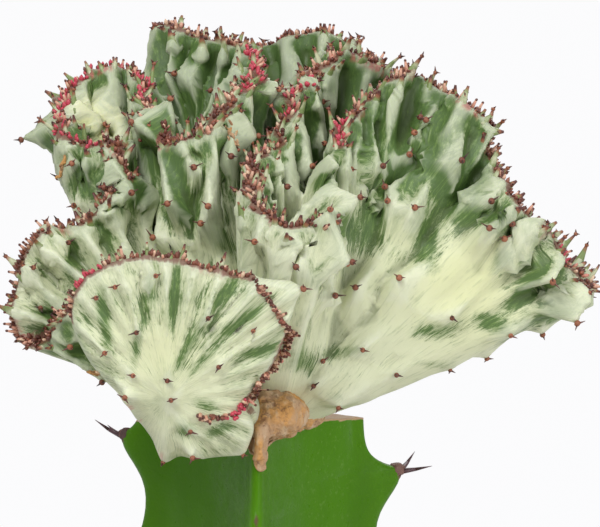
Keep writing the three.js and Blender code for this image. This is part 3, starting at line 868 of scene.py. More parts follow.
class Tree:
    """A node tree with short calls for the nodes that the finishes share."""

    def __init__(self, tree: bpy.types.NodeTree) -> None:
        """Wraps a node tree."""
        self.tree = tree
        self.count = 0

    def node(self, kind: str, **settings: object) -> bpy.types.Node:
        """Adds a node.

        Args:
            kind: its type name.
            **settings: its properties.

        Returns:
            The node.
        """
        made = self.tree.nodes.new(kind)
        made.location = (180 * (self.count % 12), -220 * (self.count // 12))
        self.count += 1
        for key, value in settings.items():
            setattr(made, key, value)
        return made

    def put(self, socket: Socket, value: object) -> None:
        """Links a socket to another one, or sets its value.

        Args:
            socket: the input.
            value: a socket, a number, a vector or a colour.
        """
        if isinstance(value, Socket):
            self.tree.links.new(value, socket)
        elif isinstance(value, tuple) and socket.type == "RGBA":
            socket.default_value = (*value, 1.0)
        else:
            socket.default_value = value

    def math(self, operation: str, first: object, second: object) -> Socket:
        """Adds a math node.

        Args:
            operation: what it does.
            first: its first number.
            second: its second number.

        Returns:
            Its result.
        """
        made = self.node("ShaderNodeMath", operation=operation)
        self.put(made.inputs[0], first)
        self.put(made.inputs[1], second)
        return made.outputs[0]

    def times(self, first: object, second: object) -> Socket:
        """Product of two numbers."""
        return self.math("MULTIPLY", first, second)

    def total(self, *terms: object) -> Socket:
        """Sum of several numbers.

        Args:
            *terms: the numbers.

        Returns:
            The sum.
        """
        result = terms[0]
        for term in terms[1:]:
            result = self.math("ADD", result, term)
        return result

    def past(self, value: object, level: float, weight: float) -> Socket:
        """How far a number lies past a level, weighted."""
        return self.times(self.math("SUBTRACT", value, level), weight)

    def rise(self, value: object, low: float, high: float, top: float = 1.0) -> Socket:
        """Smooth rise from 0 at low to top at high.

        Args:
            value: what is tested.
            low: where the rise starts.
            high: where it ends; below low for a fall.
            top: value at its end.

        Returns:
            The share.
        """
        made = self.node("ShaderNodeMapRange", interpolation_type="SMOOTHSTEP")
        self.put(made.inputs["Value"], value)
        made.inputs["From Min"].default_value = low
        made.inputs["From Max"].default_value = high
        made.inputs["To Max"].default_value = top
        return made.outputs["Result"]

    def mix(self, share: object, first: object, second: object) -> Socket:
        """Mix of two colours.

        Args:
            share: share of the second colour.
            first: one colour.
            second: the other.

        Returns:
            The mixed colour.
        """
        made = self.node("ShaderNodeMix", data_type="RGBA")
        self.put(made.inputs[0], share)
        self.put(made.inputs[6], first)
        self.put(made.inputs[7], second)
        return made.outputs[2]

    def noise(
        self, where: Socket, scale: float, detail: float = 3.0, rough: float = 0.55
    ) -> Socket:
        """Value of a noise texture.

        Args:
            where: its coordinates.
            scale: its scale.
            detail: number of its octaves.
            rough: weight of its finer octaves.

        Returns:
            The value.
        """
        made = self.node("ShaderNodeTexNoise")
        self.put(made.inputs["Vector"], where)
        made.inputs["Scale"].default_value = scale
        made.inputs["Detail"].default_value = detail
        made.inputs["Roughness"].default_value = rough
        return made.outputs["Fac"]

    def stretched(self, where: Socket, scale: tuple[float, float, float]) -> Socket:
        """Coordinates scaled differently along each axis.

        Args:
            where: the coordinates.
            scale: scale along each axis.

        Returns:
            The scaled coordinates.
        """
        made = self.node("ShaderNodeMapping")
        self.put(made.inputs["Vector"], where)
        made.inputs["Scale"].default_value = scale
        return made.outputs["Vector"]

    def attribute(self, name: str, vector: bool = False) -> Socket:
        """An attribute of the piece's mesh."""
        made = self.node("ShaderNodeAttribute", attribute_name=name)
        return made.outputs["Vector" if vector else "Fac"]

    def parts(self, vector: Socket) -> tuple[Socket, Socket, Socket]:
        """The three numbers of a vector.

        Args:
            vector: the vector.

        Returns:
            The numbers.
        """
        made = self.node("ShaderNodeSeparateXYZ")
        self.put(made.inputs[0], vector)
        return made.outputs[0], made.outputs[1], made.outputs[2]

    def object_place(self) -> Socket:
        """The place on the piece, in metres."""
        return self.node("ShaderNodeTexCoord").outputs["Object"]

    def ramp(self, value: object, stops: tuple[tuple[float, Colour], ...]) -> Socket:
        """Colours along a number.

        Args:
            value: the number.
            stops: positions and their colours.

        Returns:
            The colour.
        """
        made = self.node("ShaderNodeValToRGB")
        self.put(made.inputs[0], value)
        elements = made.color_ramp.elements
        while len(elements) < len(stops):
            elements.new(0.5)
        for element, (position, colour) in zip(elements, stops):
            element.position = position
            element.color = (*colour, 1.0)
        return made.outputs["Color"]

    def bump(self, height: Socket, distance: float, strength: float) -> Socket:
        """Normal that follows a height.

        Args:
            height: the height.
            distance: metres that a height of one stands for.
            strength: how strongly it shows.

        Returns:
            The normal.
        """
        made = self.node("ShaderNodeBump")
        self.put(made.inputs["Height"], height)
        made.inputs["Distance"].default_value = distance
        made.inputs["Strength"].default_value = strength
        return made.outputs["Normal"]


def new_material(name: str) -> tuple[bpy.types.Material, Tree, bpy.types.Node]:
    """A material with only a Principled shader in it.

    Args:
        name: name of the material.

    Returns:
        The material, its tree and its shader.
    """
    material = bpy.data.materials.new(name)
    material.use_nodes = True
    tree = Tree(material.node_tree)
    shader = material.node_tree.nodes["Principled BSDF"]
    return material, tree, shader


class SharedEffects:
    """Shader node groups that several finishes use."""

    def __init__(self) -> None:
        """Builds each group once."""
        self.streaks = self._streaks()
        self.grain = self._grain()

    def _group(
        self,
        name: str,
        coordinates: str,
        scales: tuple[tuple[str, float], ...],
        outputs: tuple[str, ...],
    ) -> tuple[Tree, bpy.types.Node, bpy.types.Node]:
        """Starts a node group with its named sockets.

        Args:
            name: name of the group.
            coordinates: name of its vector input.
            scales: name and usual value of each scale that it takes.
            outputs: names of its results.

        Returns:
            Its tree, its input node and its output node.
        """
        group = bpy.data.node_groups.new(name, "ShaderNodeTree")
        sockets = group.interface
        sockets.new_socket(coordinates, in_out="INPUT", socket_type="NodeSocketVector")
        for label, value in scales:
            made = sockets.new_socket(label, in_out="INPUT", socket_type="NodeSocketFloat")
            made.default_value = value
        for label in outputs:
            sockets.new_socket(label, in_out="OUTPUT", socket_type="NodeSocketFloat")
        tree = Tree(group)
        return tree, tree.node("NodeGroupInput"), tree.node("NodeGroupOutput")

    def _streaks(self) -> bpy.types.NodeTree:
        """Streaks that run with the growth lines: broad ones and fine ones.

        Returns:
            The group.
        """
        scales = (("Broad", 0.4), ("Fine", 1.3))
        tree, given, result = self._group("growth streaks", "Growth", scales, ("Broad", "Fine"))
        for label, along, detail in (("Broad", 0.085, 5.0), ("Fine", 0.12, 3.0)):
            where = tree.stretched(given.outputs["Growth"], (1.0, along, 37.0))
            made = tree.noise(where, 1.0, detail, 0.6)
            tree.put(made.node.inputs["Scale"], given.outputs[label])
            tree.put(result.inputs[label], made)
        return tree.tree

    def _grain(self) -> bpy.types.NodeTree:
        """Fine grain of a surface at two scales.

        Returns:
            The group.
        """
        scales = (("Coarse", 300.0), ("Fine", 1500.0))
        tree, given, result = self._group("surface grain", "Place", scales, ("Grain",))
        heights = []
        for label, _ in scales:
            made = tree.noise(given.outputs["Place"], 1.0, 4.0, 0.5)
            tree.put(made.node.inputs["Scale"], given.outputs[label])
            heights.append(made)
        tree.put(result.inputs["Grain"], tree.total(heights[0], tree.times(heights[1], 0.5)))
        return tree.tree


def use_group(tree: Tree, group: bpy.types.NodeTree, **values: object) -> bpy.types.Node:
    """Places a shared group in a tree.

    Args:
        tree: where it goes.
        group: the shared group.
        **values: what its inputs take, by name.

    Returns:
        The group node.
    """
    made = tree.node("ShaderNodeGroup", node_tree=group)
    for label, value in values.items():
        tree.put(made.inputs[label], value)
    return made


@dataclass(frozen=True)
class Canvas:
    """What a finish is painted on: its tree, the place on the piece and the surface's grain."""

    tree: Tree
    place: Socket
    grain: Socket
    shared: SharedEffects

    def tone(self, weight: float) -> Socket:
        """The piece's stored tone, varied by the grain."""
        return self.tree.total(self.tree.attribute("tone"), self.tree.past(self.grain, 0.75, weight))


@dataclass(frozen=True)
class Finish:
    """A finish: scales and depth of its grain, its shine and how far light enters it, in metres."""

    name: str = "finish"
    grain: tuple[float, float] = (420.0, 2600.0)
    depth: float = 0.0002
    strength: float = 0.5
    roughness: float = 0.5
    specular: float = 0.5
    subsurface: float = 0.0
    scatter: tuple[float, float, float] = (0.0, 0.0, 0.0)

    def surface(self, canvas: Canvas) -> tuple[Socket, Socket, object]:
        """Colour, relief and roughness; each finish has its own."""
        raise NotImplementedError

    def build(self, shared: SharedEffects) -> bpy.types.Material:
        """Makes the material.

        Args:
            shared: node groups that it uses.

        Returns:
            The material.
        """
        material, tree, shader = new_material(self.name)
        place = tree.object_place()
        coarse, fine = self.grain
        grain = use_group(tree, shared.grain, Place=place, Coarse=coarse, Fine=fine)
        canvas = Canvas(tree, place, grain.outputs["Grain"], shared)
        colour, relief, roughness = self.surface(canvas)
        tree.put(shader.inputs["Base Color"], colour)
        tree.put(shader.inputs["Normal"], tree.bump(relief, self.depth, self.strength))
        tree.put(shader.inputs["Roughness"], roughness)
        shader.inputs["Specular IOR Level"].default_value = self.specular
        if self.subsurface:
            shader.inputs["Subsurface Weight"].default_value = self.subsurface
            shader.inputs["Subsurface Radius"].default_value = self.scatter
            shader.inputs["Subsurface Scale"].default_value = 1.0
        return material


@dataclass(frozen=True)
class CrestFlesh(Finish):
    """Cream flesh with green streaks, whitened ridges with a painted highlight, painted shade in the
    hollows and a red growing edge.
    """

    name: str = "crest flesh"
    grain: tuple[float, float] = (500.0, 2200.0)
    depth: float = 0.00035
    strength: float = 0.6
    roughness: float = 0.42
    subsurface: float = 0.12
    scatter: tuple[float, float, float] = (0.0016, 0.0020, 0.0008)
    cream: Colour = (0.67, 0.70, 0.475)
    # Pale skin of the ridges, also standing in for a painted highlight on them.
    white: Colour = (0.74, 0.77, 0.60)
    yellow: Colour = (0.70, 0.71, 0.36)
    sage: Colour = (0.27, 0.34, 0.165)
    leaf_green: Colour = (0.135, 0.240, 0.042)
    dark_green: Colour = (0.052, 0.118, 0.018)
    # Painted shade for the hollows of the relief, not a colour of the skin.
    painted_valley_shade: Colour = (0.070, 0.100, 0.025)
    brown: Colour = (0.16, 0.030, 0.022)
    crimson: Colour = (0.50, 0.040, 0.075)

    def surface(self, canvas: Canvas) -> tuple[Socket, Socket, object]:
        """Hazy cream ground, feathery green streaks over it, whitened ridges with a painted
        highlight, painted shade in the hollows, and the red edge.

        Args:
            canvas: what it is painted on.

        Returns:
            Colour, relief and roughness.
        """
        tree, place = canvas.tree, canvas.place
        growth = tree.attribute("growth", vector=True)
        relief, green, yellow = tree.parts(tree.attribute("skin", vector=True))
        streaks = use_group(tree, canvas.shared.streaks, Growth=growth, Broad=0.40, Fine=1.25)
        broad, fine = streaks.outputs["Broad"], streaks.outputs["Fine"]
        patches = tree.noise(place, 95.0, 3.0)
        feathers = tree.noise(tree.stretched(growth, (1.0, 0.20, 0.0)), 1.7, 5.0, 0.75)
        amount = tree.total(
            tree.times(broad, 0.80),
            tree.times(fine, 0.40),
            tree.past(feathers, 0.44, 0.95),
            tree.times(patches, 0.60),
            tree.times(green, 0.60),
            tree.times(relief, -0.16),
        )
        veins = tree.total(tree.times(feathers, 0.80), tree.times(amount, 0.35))
        greens = tree.ramp(
            tree.rise(veins, 0.62, 0.98),
            ((0.0, self.sage), (0.35, self.leaf_green), (1.0, self.dark_green)),
        )
        haze = tree.total(
            tree.times(patches, 0.7),
            tree.times(green, 0.80),
            tree.past(feathers, 0.35, 0.9),
        )
        ground = tree.mix(yellow, self.cream, self.yellow)
        ground = tree.mix(tree.rise(haze, 0.55, 1.02), ground, self.sage)
        ground = tree.mix(tree.rise(fine, 0.52, 0.74, 0.45), ground, self.sage)
        flecks = tree.noise(tree.stretched(growth, (1.0, 0.45, 0.0)), 1.15, 2.0, 0.6)
        sparse = tree.times(tree.rise(flecks, 0.64, 0.72), tree.rise(haze, 0.45, 0.75, 0.7))
        ground = tree.mix(tree.times(sparse, 0.5), ground, self.dark_green)
        flesh = tree.mix(tree.times(tree.rise(amount, 1.16, 1.36), 0.88), ground, greens)
        # Ridges whitened by the relief: partly the skin's own pale ridges, partly a painted
        # highlight.
        flesh = tree.mix(tree.rise(relief, 0.25, 1.1, 0.45), flesh, self.white)
        # Painted shade: the hollows of the relief are darkened.
        flesh = tree.mix(tree.rise(relief, -0.30, -1.2, 0.50), flesh, self.painted_valley_shade)
        flesh = self.growing_edge(tree, growth, flesh)
        height = tree.total(tree.times(fine, 0.7), tree.times(canvas.grain, 0.35))
        rough = tree.total(tree.rise(canvas.grain, 0.3, 1.2, 0.22), self.roughness)
        return flesh, height, rough

    def growing_edge(self, tree: Tree, growth: Socket, flesh: Socket) -> Socket:
        """Adds the crimson blush near the margin and the brown rim on it.

        Args:
            tree: the finish's tree.
            growth: the growth marks.
            flesh: colour of the flesh.

        Returns:
            The colour with its edge.
        """
        _, below, edge = tree.parts(growth)
        patchy = tree.noise(tree.stretched(growth, (1.0, 0.6, 0.0)), 0.9, 3.0)
        blush = tree.noise(tree.stretched(growth, (1.0, 0.02, 0.0)), 0.075, 1.0)
        close = tree.times(tree.rise(below, 1.5, 0.0), tree.rise(patchy, 0.35, 0.6))
        blushed = tree.times(close, tree.rise(blush, 0.54, 0.62, 0.6))
        flesh = tree.mix(blushed, flesh, self.crimson)
        rim = tree.total(edge, tree.past(patchy, 0.5, 0.9))
        return tree.mix(tree.rise(rim, 0.50, 0.92, 0.8), flesh, self.brown)


@dataclass(frozen=True)
class YoungTooth(Finish):
    """Young teeth: green and cream at the root, red-brown at the tip."""

    name: str = "young teeth"
    grain: tuple[float, float] = (600.0, 2600.0)
    roughness: float = 0.45
    root: Colour = (0.20, 0.27, 0.09)
    pale: Colour = (0.50, 0.52, 0.33)
    rust: Colour = (0.30, 0.11, 0.055)
    tip: Colour = (0.10, 0.028, 0.022)

    def surface(self, canvas: Canvas) -> tuple[Socket, Socket, object]:
        """Mottled root that turns rusty and dark towards the tip.

        Args:
            canvas: what it is painted on.

        Returns:
            Colour, relief and roughness.
        """
        tree, share = canvas.tree, canvas.tone(0.25)
        mottled = tree.rise(tree.noise(canvas.place, 260.0, 2.0), 0.42, 0.60)
        colour = tree.mix(mottled, self.root, self.pale)
        colour = tree.mix(tree.rise(share, 0.66, 0.86), colour, self.rust)
        colour = tree.mix(tree.rise(share, 0.82, 0.98), colour, self.tip)
        return colour, canvas.grain, self.roughness


@dataclass(frozen=True)
class Toned(Finish):
    """A finish whose colour follows the tone of each small form."""

    tone_weight: float = 0.35
    stops: tuple[tuple[float, Colour], ...] = ()

    def surface(self, canvas: Canvas) -> tuple[Socket, Socket, object]:
        """Colours along the tone."""
        colour = canvas.tree.ramp(canvas.tone(self.tone_weight), self.stops)
        return colour, canvas.grain, self.roughness


# Tiny buds of the margin: brown, crimson and cream-pink ones.
BUD_SKIN = Toned(
    name="margin buds",
    grain=(900.0, 3000.0),
    roughness=0.38,
    tone_weight=0.35,
    stops=(
        (0.0, (0.085, 0.026, 0.018)),
        (0.30, (0.175, 0.052, 0.032)),
        (0.50, (0.32, 0.110, 0.062)),
        (0.57, (0.52, 0.045, 0.080)),
        (0.68, (0.55, 0.070, 0.105)),
        (0.76, (0.60, 0.27, 0.19)),
        (1.0, (0.76, 0.58, 0.40)),
    ),
)

# Dark earth; the tone runs from black earth to bark and pale grit.
POTTING_MIX = Toned(
    name="potting mix",
    grain=(700.0, 2400.0),
    depth=0.0006,
    strength=0.9,
    roughness=0.92,
    tone_weight=0.4,
    stops=(
        (0.0, (0.018, 0.011, 0.008)),
        (0.40, (0.050, 0.030, 0.019)),
        (0.62, (0.150, 0.082, 0.042)),
        (0.80, (0.280, 0.200, 0.130)),
        (1.0, (0.680, 0.660, 0.600)),
    ),
)


@dataclass(frozen=True)
class HornBrown(Finish):
    """Brown skin of spines and of the pads that they stand on."""

    dark: Colour = (0.14, 0.040, 0.024)
    light: Colour = (0.34, 0.12, 0.06)

    def surface(self, canvas: Canvas) -> tuple[Socket, Socket, object]:
        """Two browns, mixed by the tone and the grain.

        Args:
            canvas: what it is painted on.

        Returns:
            Colour, relief and roughness.
        """
        tree = canvas.tree
        tone = tree.total(tree.times(tree.attribute("tone"), 0.7), tree.times(canvas.grain, 0.4))
        colour = tree.mix(tree.rise(tone, 0.15, 0.95), self.dark, self.light)
        return colour, canvas.grain, self.roughness


CREST_PADS = HornBrown("areole pads", roughness=0.55)
CREST_SPINES = HornBrown(
    "crest spines", roughness=0.4, dark=(0.045, 0.018, 0.016), light=(0.16, 0.06, 0.045)
)
STEM_PADS = HornBrown(
    "stem pads", roughness=0.6, dark=(0.055, 0.028, 0.030), light=(0.20, 0.10, 0.08)
)
STEM_SPINES = HornBrown(
    "stem spines", roughness=0.4, dark=(0.050, 0.024, 0.032), light=(0.16, 0.075, 0.085)
)


@dataclass(frozen=True)
class Cork(Finish):
    """Dry healed tissue, tan with orange and brown."""

    name: str = "cork"
    grain: tuple[float, float] = (420.0, 1700.0)
    depth: float = 0.0009
    strength: float = 0.9
    roughness: float = 0.78
    tan: Colour = (0.52, 0.33, 0.19)
    orange: Colour = (0.62, 0.32, 0.10)
    brown: Colour = (0.24, 0.12, 0.06)
    pale: Colour = (0.68, 0.52, 0.34)

    def surface(self, canvas: Canvas) -> tuple[Socket, Socket, object]:
        """Tan and orange patches with pale streaks and brown pits.

        Args:
            canvas: what it is painted on.

        Returns:
            Colour, relief and roughness.
        """
        tree, place = canvas.tree, canvas.place
        patches = tree.noise(place, 160.0, 4.0, 0.6)
        streaks = tree.noise(tree.stretched(place, (1, 1, 0.35)), 420.0, 4.0)
        colour = tree.mix(tree.rise(patches, 0.42, 0.62), self.tan, self.orange)
        colour = tree.mix(tree.rise(streaks, 0.5, 0.68, 0.7), colour, self.pale)
        colour = tree.mix(tree.rise(canvas.grain, 0.72, 0.5, 0.8), colour, self.brown)
        return colour, canvas.grain, self.roughness


@dataclass(frozen=True)
class StemSkin(Finish):
    """Waxy green skin with paler ribs, mottling and brown wing edges."""

    name: str = "stem skin"
    grain: tuple[float, float] = (350.0, 1500.0)
    depth: float = 0.0003
    strength: float = 0.45
    specular: float = 0.16
    subsurface: float = 0.05
    scatter: tuple[float, float, float] = (0.0008, 0.0018, 0.0003)
    deep: Colour = (0.060, 0.192, 0.001)
    green: Colour = (0.070, 0.222, 0.001)
    bright: Colour = (0.090, 0.245, 0.001)
    fleck: Colour = (0.150, 0.310, 0.050)
    edge_brown: Colour = (0.120, 0.055, 0.040)
    cork: Colour = (0.500, 0.330, 0.200)

    def surface(self, canvas: Canvas) -> tuple[Socket, Socket, object]:
        """Mottled green with flecks, brown wing edges and the corky cut.

        Args:
            canvas: what it is painted on.

        Returns:
            Colour, relief and roughness.
        """
        tree, place = canvas.tree, canvas.place
        reach, edge, scar = tree.parts(tree.attribute("wing", vector=True))
        broad = tree.noise(tree.stretched(place, (1.0, 1.0, 0.3)), 60.0, 3.0)
        flecks = tree.noise(place, 900.0, 3.0, 0.7)
        rough = tree.noise(place, 700.0, 3.0)
        colour = tree.mix(tree.rise(broad, 0.35, 0.68), self.deep, self.green)
        colour = tree.mix(tree.rise(reach, 0.45, 1.0, 0.18), colour, self.bright)
        flecked = tree.times(tree.rise(flecks, 0.54, 0.74), tree.rise(broad, 0.4, 0.6, 0.55))
        colour = tree.mix(flecked, colour, self.fleck)
        worn = tree.total(edge, tree.times(rough, 0.3))
        colour = tree.mix(tree.rise(worn, 1.0, 1.2, 0.9), colour, self.edge_brown)
        healed = tree.total(scar, tree.times(rough, 0.5))
        colour = tree.mix(tree.rise(healed, 0.6, 0.9), colour, self.cork)
        return colour, canvas.grain, tree.rise(canvas.grain, -0.2, 1.6, 0.75)


@dataclass(frozen=True)
class Terracotta(Finish):
    """Fired clay with mottled colour, turning marks and pale salts near the foot."""

    name: str = "terracotta"
    grain: tuple[float, float] = (700.0, 2600.0)
    depth: float = 0.0004
    strength: float = 0.6
    clay: Colour = (0.46, 0.165, 0.075)
    light: Colour = (0.60, 0.27, 0.14)
    dark: Colour = (0.33, 0.105, 0.045)
    salts: Colour = (0.70, 0.60, 0.50)

    def surface(self, canvas: Canvas) -> tuple[Socket, Socket, object]:
        """Patches, dark specks, turning marks and salts.

        Args:
            canvas: what it is painted on.

        Returns:
            Colour, relief and roughness.
        """
        tree, place = canvas.tree, canvas.place
        patches = tree.noise(place, 32.0, 4.0, 0.6)
        specks = tree.noise(place, 1400.0, 2.0, 0.7)
        turning = tree.noise(tree.stretched(place, (0.4, 0.4, 9.0)), 95.0, 3.0)
        _, _, height = tree.parts(place)
        colour = tree.mix(tree.rise(patches, 0.36, 0.66), self.clay, self.light)
        colour = tree.mix(tree.rise(specks, 0.60, 0.74, 0.7), colour, self.dark)
        colour = tree.mix(tree.rise(turning, 0.52, 0.72, 0.30), colour, self.light)
        low = tree.math("SUBTRACT", height, tree.times(patches, 0.05))
        blotches = tree.rise(tree.noise(place, 260.0, 5.0, 0.7), 0.42, 0.66, 0.6)
        salted = tree.times(tree.rise(low, 0.012, -0.022), blotches)
        colour = tree.mix(salted, colour, self.salts)
        relief = tree.total(canvas.grain, tree.times(turning, 1.2))
        return colour, relief, tree.rise(specks, -0.6, 1.0, 1.0)


@dataclass(frozen=True)
class PaleFloor(Finish):
    """Matt off-white studio floor."""

    name: str = "pale floor"
    grain: tuple[float, float] = (200.0, 900.0)
    depth: float = 0.0003
    strength: float = 0.2
    roughness: float = 0.7
    pale: Colour = (0.82, 0.82, 0.80)
    shade: Colour = (0.78, 0.78, 0.76)

    def surface(self, canvas: Canvas) -> tuple[Socket, Socket, object]:
        """Two off-whites in faint patches.

        Args:
            canvas: what it is painted on.

        Returns:
            Colour, relief and roughness.
        """
        tree = canvas.tree
        patches = tree.noise(canvas.place, 9.0, 3.0)
        colour = tree.mix(tree.rise(patches, 0.3, 0.7, 0.25), self.pale, self.shade)
        return colour, canvas.grain, self.roughness


@dataclass
class Tip:
    """Tip of a tooth: where it ends, where it points, and how stout it is."""

    place: Vector
    out: Vector
    size: float = 1.0


@dataclass
class YoungShape:
    """A young tooth of the margin: its root, its tip, its half width and its flat side."""

    root: Vector
    tip: Vector
    width: float
    across: Vector


@dataclass
class WindingSheet:
    """The thin sheet of the crest, whose growing margin winds to and fro."""

    column: float = 0.9
    levels: int = 46
    lowest: float = 0.08
    neck: tuple[float, float, float] = (2.0, -8.0, 4.0)
    half_thickness: tuple[tuple[float, float], ...] = (
        (0.16, 6.5), (0.42, 6.0), (0.65, 4.7), (0.84, 3.3), (0.985, 1.9),
    )
    margin_rise: float = 0.7
    normal_spread: float = 3.8
    rib_spacing: tuple[float, float] = (6.2, 10.5)
    wave_height: float = 1.5
    wave_fade: float = 19.0
    ridge_height: float = 1.35
    ridge_fade: float = 25.0
    cap_steps: int = 7
    smooth_stations: tuple[float, float] = (79.0, 94.0)
    hub_rounds: int = 4
    end_taper: float = 9.0
    healed_depth: float = 7.0
    seed: int = 11

    def __post_init__(self) -> None:
        """Works out the growth lines and the directions across them."""
        stations = np.array([EYE.place(s) for lobe in LOBES for s in lobe.margin])
        hubs = np.array([EYE.place(lobe.hub) for lobe in LOBES for _ in lobe.margin])
        for _ in range(self.hub_rounds):
            for k in range(1, len(hubs) - 1):
                hubs[k] = (hubs[k] + (hubs[k - 1] + hubs[k + 1]) / 2) / 2
        knots, length = self._even_knots(stations)
        margin = self._on_margin(stations, knots)
        whole = np.minimum(knots.astype(int), len(hubs) - 2)
        part = knots - whole
        part = (part * part * (3 - 2 * part))[:, None]
        hub = hubs[whole] * (1 - part) + hubs[whole + 1] * part
        level = np.linspace(self.lowest, 1.0, self.levels)
        v = level[None, :, None]
        start = np.array(self.neck)
        self.middle = (1 - v) ** 2 * start + 2 * v * (1 - v) * hub[:, None] + v**2 * margin[:, None]
        self.knots = knots
        self.along = np.linspace(0.0, length, len(knots))
        steps = np.linalg.norm(np.diff(self.middle, axis=1), axis=2)
        to_margin = np.cumsum(steps[:, ::-1], axis=1)[:, ::-1]
        self.below = np.concatenate([to_margin, np.zeros((len(knots), 1))], axis=1)
        self.growth = unit(np.gradient(self.middle, axis=1))
        across = unit(np.gradient(self.middle, axis=0))
        normal = unit(np.cross(across, self.growth))
        self.normal = unit(smoothed_along(normal, self.normal_spread / self.column))
        levels, halves = zip(*self.half_thickness)
        self.half = np.interp(level, levels, halves)
        from_end = np.minimum(self.along, length - self.along)
        self.taper = np.sqrt(np.clip(from_end / self.end_taper, 0.0, 1.0))
        draw = random.Random(self.seed)
        ribs = [0.0]
        while ribs[-1] < length:
            ribs.append(ribs[-1] + draw.uniform(*self.rib_spacing))
        self.ribs = np.array(ribs)
        self.phase = 2 * np.pi * np.interp(self.along, self.ribs, np.arange(len(ribs)))
        self.length = length

    def _on_margin(self, stations: Array, knots: Array) -> Array:
        """Points of the smooth line through the stations.

        Args:
            stations: the stations, in order.
            knots: where the points lie, counted in stations.

        Returns:
            The points.
        """
        count = len(stations)
        first = 2 * stations[0] - stations[1]
        last = 2 * stations[-1] - stations[-2]
        padded = np.concatenate([[first], stations, [last]])
        whole = np.minimum(knots.astype(int), count - 2)
        w = (knots - whole)[:, None]
        p0, p1, p2, p3 = (padded[whole + k] for k in range(4))
        d0, d1, d2 = (
            np.sqrt(np.linalg.norm(b - a, axis=1, keepdims=True))
            for a, b in ((p0, p1), (p1, p2), (p2, p3))
        )
        t1 = ((p1 - p0) / d0 - (p2 - p0) / (d0 + d1) + (p2 - p1) / d1) * d1
        t2 = ((p2 - p1) / d1 - (p3 - p1) / (d1 + d2) + (p3 - p2) / d2) * d1
        square, cube = 3 * (p2 - p1) - 2 * t1 - t2, 2 * (p1 - p2) + t1 + t2
        return p1 + t1 * w + square * w**2 + cube * w**3

    def _even_knots(self, stations: Array) -> tuple[Array, float]:
        """Finds knots that lie evenly along the margin.

        Args:
            stations: the stations, in order.

        Returns:
            The knots, and the margin's length.
        """
        dense = np.linspace(0.0, len(stations) - 1, 4000)
        line = self._on_margin(stations, dense)
        run = np.concatenate([[0.0], np.cumsum(np.linalg.norm(np.diff(line, axis=0), axis=1))])
        count = int(run[-1] / self.column)
        return np.interp(np.linspace(0.0, run[-1], count), run, dense), float(run[-1])

    def ridge(self, side: int) -> Array:
        """Height of the ribs on one face."""
        turned = self.phase if side > 0 else self.phase + np.pi
        return 1.0 - 2.0 * np.abs(np.sin(turned / 2))

    def calm(self) -> Array:
        """Share of the folds and ribs that is left, less on the smooth flesh of the right wall.

        Returns:
            The share at each place, column by level.
        """
        first, last = self.smooth_stations
        window = smooth_step(self.knots, first, first + 3.0)
        window *= smooth_step(self.knots, last, last - 2.0)
        return 1.0 - 0.75 * window[:, None] * smooth_step(self.below, 6.0, 17.0)

    def waved(self) -> Array:
        """Middle surface, thrown into folds towards the margin.

        Returns:
            Places in mm, column by level.
        """
        wave = self.wave_height * np.exp(-((self.below / self.wave_fade) ** 2)) * self.calm()
        wave *= 0.65 + 0.35 * smooth_step(self.below, 0.0, 3.0)
        shift = wave * np.cos(self.phase)[:, None] * self.taper[:, None]
        return self.middle + self.normal * shift[..., None]

    def face(self, side: int) -> Array:
        """Points of one face.

        Args:
            side: 1 or -1.

        Returns:
            Places in mm, column by level.
        """
        height = self.ridge_height * np.exp(-((self.below / self.ridge_fade) ** 2)) * self.calm()
        height *= 0.25 + 0.75 * smooth_step(self.below, 0.5, 5.0)
        lift = self.half[None, :] + height * self.ridge(side)[:, None]
        return self.waved() + side * self.normal * (lift * self.taper[:, None])[..., None]

    def rings(self) -> Array:
        """Closed outline of the sheet at each column.

        Returns:
            Places in mm, column by place in the outline.
        """
        face_a, face_b = self.face(1), self.face(-1)
        top = self.waved()[:, -1]
        crest = self.growth[:, -1]
        side = self.normal[:, -1] * (self.half[-1] * self.taper)[:, None]
        cap = []
        for k in range(1, self.cap_steps):
            angle = math.pi * k / self.cap_steps
            cap.append(top + side * math.cos(angle) + crest * self.margin_rise * math.sin(angle))
        return np.concatenate([face_a, np.stack(cap, axis=1), face_b[:, ::-1]], axis=1)

    def marks(self) -> dict[str, Array]:
        """Growth marks of each place in the rings, and the way towards the margin.

        Returns:
            Growth marks and ways, by name, as the rings are laid out.
        """
        rows = len(self.along)
        cap = self.cap_steps - 1
        below = np.hstack([self.below, np.zeros((rows, cap)), self.below[:, ::-1]])
        along = np.repeat(self.along[:, None], below.shape[1], axis=1)
        crown = np.sin(np.pi * np.arange(1, self.cap_steps) / self.cap_steps)
        edge = np.concatenate([np.zeros(self.levels), crown, np.zeros(self.levels)])
        healed = (self.knots > HEALED_STATIONS[0]) & (self.knots < HEALED_STATIONS[1])
        below = below + np.where(healed, self.healed_depth, 0.0)[:, None]
        growth = np.stack([along, below, np.where(healed, 0.0, 1.0)[:, None] * edge], axis=2)
        top = np.repeat(self.growth[:, -1:], cap, axis=1)
        toward = np.concatenate([self.growth, top, self.growth[:, ::-1]], axis=1)
        return {"growth": growth, "toward": toward}


